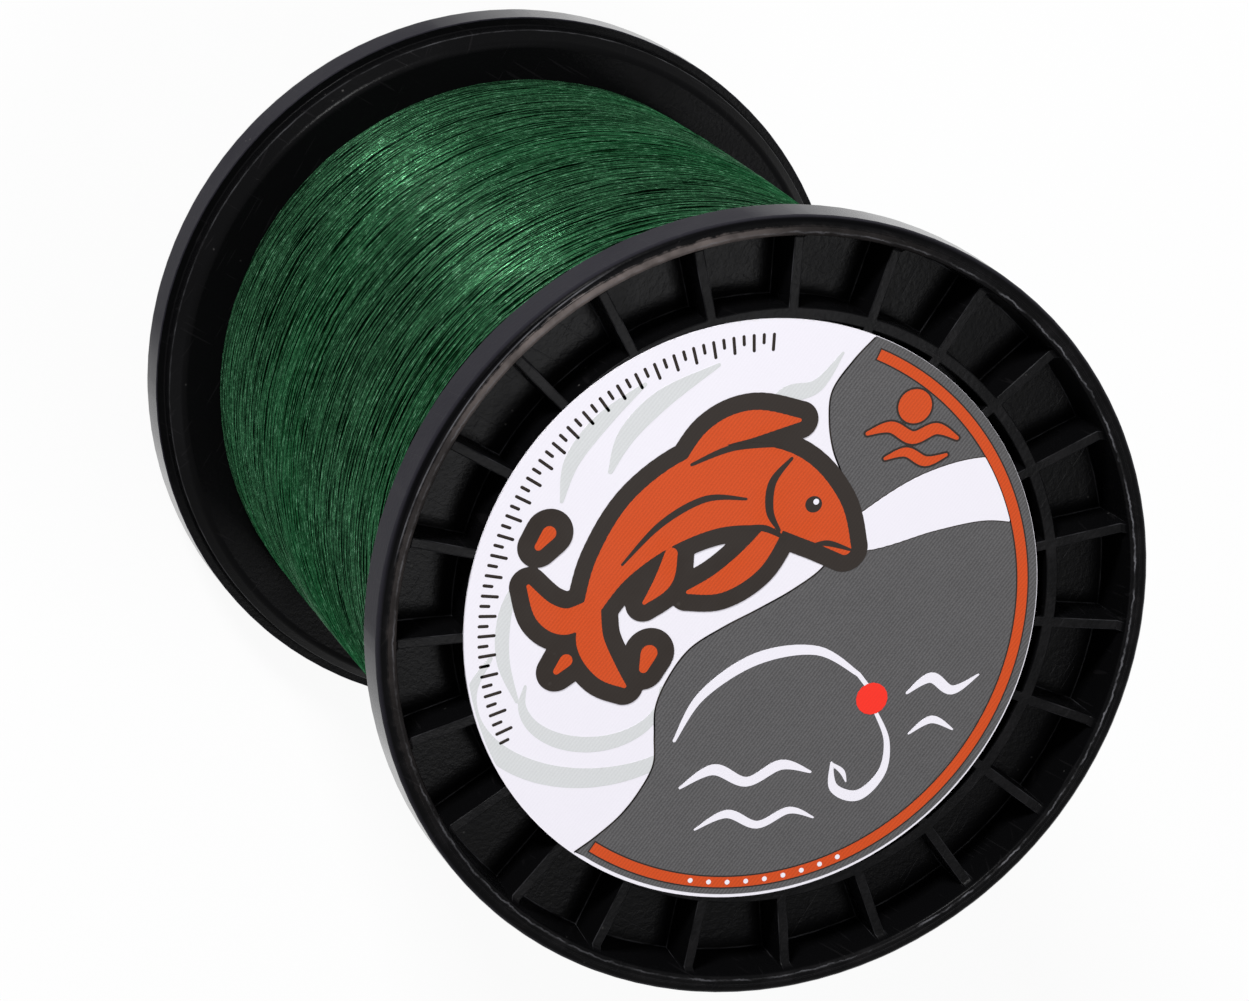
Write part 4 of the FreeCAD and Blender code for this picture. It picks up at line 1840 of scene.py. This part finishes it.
        field_line = [(across, up, self.field_line) for across, up in self.field_edge()[::4]]
        ring_middle = (self.ring_outer + self.ring_inner) / 2
        beads = [self.bead(*point, self.bead_half) for point in arc(ring_middle, *self.bead_arc)]
        swell = self.swell()
        return [
            Print("label_ripples", self.pale, 1, merged(self.ripples())),
            Print("label_field_outline", self.dark, 2, close([brush_stroke(field_line)])),
            Print("label_field", self.grey, 2, close([self.field()])),
            Print("label_swell_outline", self.dark, 3, merged(swell, self.swell_line, self.ring_inner)),
            Print("label_swell", self.white, 4, merged(swell, 0.0, self.ring_inner - self.swell_gap)),
            Print("label_ring_outline", self.dark, 3, close([self.ring(self.ring_line)])),
            Print("label_ring", self.orange, 4, close([self.ring(0.0)])),
            Print("label_ring_beads", self.white, 5, close(beads)),
            Print("label_sunrise_outline", self.dark, 4, merged(self.sunrise(), self.sunrise_line)),
            Print("label_sunrise", self.orange, 5, merged(self.sunrise())),
            Print("label_fish_outline", self.dark, 5, merged(self.fish(), self.fish_line)),
            Print("label_fish", self.orange, 6, merged(self.fish())),
            Print("label_fish_marks", self.dark, 7, merged(self.fish_marks())),
            Print("label_fish_eye", self.white, 8, close([self.bead(*self.fish_eye)])),
            Print("label_cast_line", self.white, 4, merged(self.cast_line())),
            Print("label_float", self.red, 5, close([self.bead(*self.float_bead)])),
        ]

    def inlay(self, outlines: Iterable[Sequence[Point]], layer: int) -> bpy.types.Mesh:
        """A thin closed sheet of ink.

        Args:
            outlines: Closed outlines in millimetres that don't cross, with those of its holes.
            layer: How many ink heights its top lies over the card.

        Returns:
            The mesh, in its place on the card.
        """
        work = bmesh.new()
        drawn = bpy.data.curves.new("shape", "CURVE")
        drawn.dimensions = "2D"
        drawn.fill_mode = "BOTH"
        for outline in outlines:
            spline = drawn.splines.new("POLY")
            spline.points.add(len(outline) - 1)
            for point, (across, up) in zip(spline.points, outline):
                point.co = (across / 1000, up / 1000, 0.0, 1.0)
            spline.use_cyclic_u = True
        carrier = new_object("shape", drawn)
        flat = bpy.data.meshes.new_from_object(carrier)
        work.from_mesh(flat)
        bpy.data.objects.remove(carrier)
        bpy.data.curves.remove(drawn)
        bpy.data.meshes.remove(flat)
        bmesh.ops.remove_doubles(work, verts=work.verts, dist=1e-9)
        grown = bmesh.ops.extrude_face_region(work, geom=work.faces[:])
        raised = [item for item in grown["geom"] if isinstance(item, bmesh.types.BMVert)]
        rise = self.layer_height * (layer + self.ink_buried)
        bmesh.ops.translate(work, vec=(0.0, 0.0, rise), verts=raised)
        foot = self.top - self.layer_height * self.ink_buried
        bmesh.ops.translate(work, vec=(self.across, self.up, foot), verts=work.verts)
        bmesh.ops.recalc_face_normals(work, faces=work.faces)
        return finished(work, "inlay")

    def tick(self) -> bpy.types.Mesh:
        """Draws a long and a short mark of the scale, at the sweep's start.

        Returns:
            The pair, in its place on the card.
        """
        outlines = []
        for number, inner in enumerate(self.tick_inner):
            turned = Matrix.Rotation(self.tick_start + number * self.tick_sweep / self.tick_count, 2)
            outline = brush_stroke([(inner, 0.0, self.tick_half), (self.tick_outer, 0.0, self.tick_half)])
            outlines.append([tuple(turned @ Vector(point)) for point in outline])
        return self.inlay(outlines, 1)

    def build(self, repeat: bpy.types.NodeTree, effects: Effects) -> None:
        """Prints the card and dresses it.

        Args:
            repeat: The tree that repeats a mesh about the axis.
            effects: The shared shader groups.
        """
        materials = {ink.name: ink.material(effects)
                     for ink in (self.white, self.grey, self.pale, self.orange, self.dark, self.red)}
        dress_node("front_label", materials[self.white.name])
        for item in self.prints():
            mesh = dress(self.inlay(item.shapes, item.layer), materials[item.ink.name])
            new_piece(item.name, mesh)
        tick = self.tick()
        middle = Matrix.Translation((self.across, self.up, 0.0))
        tick.transform(middle.inverted())
        scale = grow(tick, repeat, {"Count": self.tick_count // 2, "Sweep": self.tick_sweep,
                                    "Finish": materials[self.dark.name]})
        scale.transform(middle)
        new_piece("label_scale", face_outwards(scale))


# The studio

@dataclass
class Lamp:
    """A soft rectangular lamp, placed from the spool's middle as the camera sees it."""

    name: str
    right: float
    up: float
    towards: float
    width: float
    height: float
    power: float
    colour: Triple = (1.0, 1.0, 1.0)


@dataclass
class Studio:
    """The camera at the photograph's angle, soft lamps and a pale floor."""

    focal_pixels: float = 5606.9
    frame_pixels: float = 1249.0
    sensor: float = 36.0
    axis_swing: float = 0.436124
    axis_lean: float = 0.750860
    distance: float = 0.888220
    shift_right: float = -0.000636
    shift_down: float = -0.004182
    floor_reach: float = 8.0
    floor_level: float = -0.0003
    floor_paint: Colour = (0.95, 0.95, 0.95, 1.0)
    floor_glow: float = 0.92
    white: Colour = (1.0, 1.0, 1.0, 1.0)
    world_level: float = 0.22
    lamps: tuple[Lamp, ...] = (
        Lamp("key", -0.27, 0.80, 1.02, 0.24, 0.24, 17.0),
        Lamp("front", 0.59, -0.52, 0.91, 0.3, 0.3, 4.4, (0.98, 0.98, 1.0)),
        Lamp("fill", 0.45, 0.45, 1.20, 0.8, 0.8, 1.5, (0.97, 0.98, 1.0)),
        Lamp("low", -1.1, -0.5, 0.35, 0.5, 0.8, 1.8, (0.92, 0.92, 1.0)),
    )

    def axes(self) -> tuple[Vector, Vector, Vector]:
        """Turns the camera's angles into its directions.

        Returns:
            To the right, down and forwards, in the spool's frame.
        """
        along = Vector((math.sin(self.axis_swing) * math.cos(self.axis_lean),
                        math.sin(self.axis_swing) * math.sin(self.axis_lean),
                        -math.cos(self.axis_swing)))
        across = Vector((0.0, -1.0, 0.0)).cross(along).normalized()
        rows = Matrix((across, along.cross(across), along)).transposed()
        return rows[0].copy(), rows[1].copy(), rows[2].copy()

    def camera(self) -> None:
        """Sets up the camera."""
        right, down, forwards = self.axes()
        data = bpy.data.cameras.new("camera")
        data.sensor_width = self.sensor
        data.lens = self.focal_pixels / self.frame_pixels * self.sensor
        camera = new_object("camera", data)
        place = SPOOL_MIDDLE - right * self.shift_right - down * self.shift_down - forwards * self.distance
        turned = Matrix((right, -down, -forwards)).transposed().to_4x4()
        camera.matrix_world = Matrix.Translation(place) @ turned
        bpy.context.scene.camera = camera

    def light(self) -> None:
        """Hangs the lamps, all pointed at the spool's middle."""
        right, down, forwards = self.axes()
        for lamp in self.lamps:
            data = bpy.data.lights.new(lamp.name, "AREA")
            data.shape = "RECTANGLE"
            data.size = lamp.width
            data.size_y = lamp.height
            data.energy = lamp.power
            data.color = lamp.colour
            place = SPOOL_MIDDLE + right * lamp.right - down * lamp.up - forwards * lamp.towards
            item = new_object(lamp.name, data)
            item.location = place
            item.rotation_mode = "QUATERNION"
            item.rotation_quaternion = (SPOOL_MIDDLE - place).to_track_quat("-Z", "Y")

    def seen(self, tree: Tree) -> bpy.types.NodeSocket:
        """Tells what the camera sees, straight, mirrored or through glass, from the light that falls.

        Args:
            tree: The tree of the world or of a material.

        Returns:
            The socket of a mask that is 1 for what is seen.
        """
        path = tree.add("ShaderNodeLightPath").outputs
        straight = tree.sum("MAXIMUM", path["Is Camera Ray"], path["Is Glossy Ray"])
        return tree.sum("MAXIMUM", straight, path["Is Transmission Ray"])

    def world(self) -> None:
        """A white surround for the eye and a grey one for the light."""
        world = bpy.data.worlds.new("surround")
        bpy.context.scene.world = world
        tree = emptied(world)
        level = tree.spread(self.seen(tree), 0.0, 1.0, self.world_level, 1.0)
        back = tree.add("ShaderNodeBackground", {"Color": self.white, "Strength": level})
        tree.add("ShaderNodeOutputWorld", {0: back.outputs[0]})

    def floor(self) -> None:
        """A white floor that keeps a soft shadow, and that is clear from below."""
        mesh = bpy.data.meshes.new("floor")
        corners = ((-1, -1), (1, -1), (1, 1), (-1, 1))
        mesh.from_pydata([(across * self.floor_reach, up * self.floor_reach, self.floor_level)
                          for across, up in corners], [], [(0, 1, 2, 3)])
        material = bpy.data.materials.new("floor_white")
        tree = emptied(material)
        paint = tree.add("ShaderNodeBsdfDiffuse", {"Color": self.floor_paint})
        glow = tree.add("ShaderNodeEmission", {"Color": self.white, "Strength": 1.0})
        share = tree.times(self.seen(tree), self.floor_glow)
        lit = tree.add("ShaderNodeMixShader", {0: share, 1: paint.outputs[0], 2: glow.outputs[0]})
        clear = tree.add("ShaderNodeBsdfTransparent")
        under = tree.add("ShaderNodeNewGeometry").outputs["Backfacing"]
        both = tree.add("ShaderNodeMixShader", {0: under, 1: lit.outputs[0], 2: clear.outputs[0]})
        tree.add("ShaderNodeOutputMaterial", {"Surface": both.outputs[0]})
        floor = new_object("floor", dress(mesh, material))


def main() -> None:
    """Builds every piece in order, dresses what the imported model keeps, and lights it."""
    logging.basicConfig(level=logging.INFO, format="%(message)s")
    bpy.context.scene.view_settings.view_transform = "Standard"
    studio = Studio()
    studio.camera()
    effects = Effects()
    plastic = MouldedPlastic().material(effects)
    repeat = ring_array_tree()

    flange = Flange()
    rear = flange.build(repeat, plastic)
    front = flange.turned_over(rear)
    new_piece("rear_flange_moulding", rear, ["rear_flange"])
    new_piece("front_flange_moulding", front, ["front_flange"])
    Winding().build(flange.web, SPOOL_WIDTH - flange.web)
    dress_node("barrel", plastic)
    dress_node("start_tape", PaperTape().material(effects))
    Label().build(repeat, effects)

    studio.light()
    studio.world()
    studio.floor()


if __name__ == "__main__":
    main()
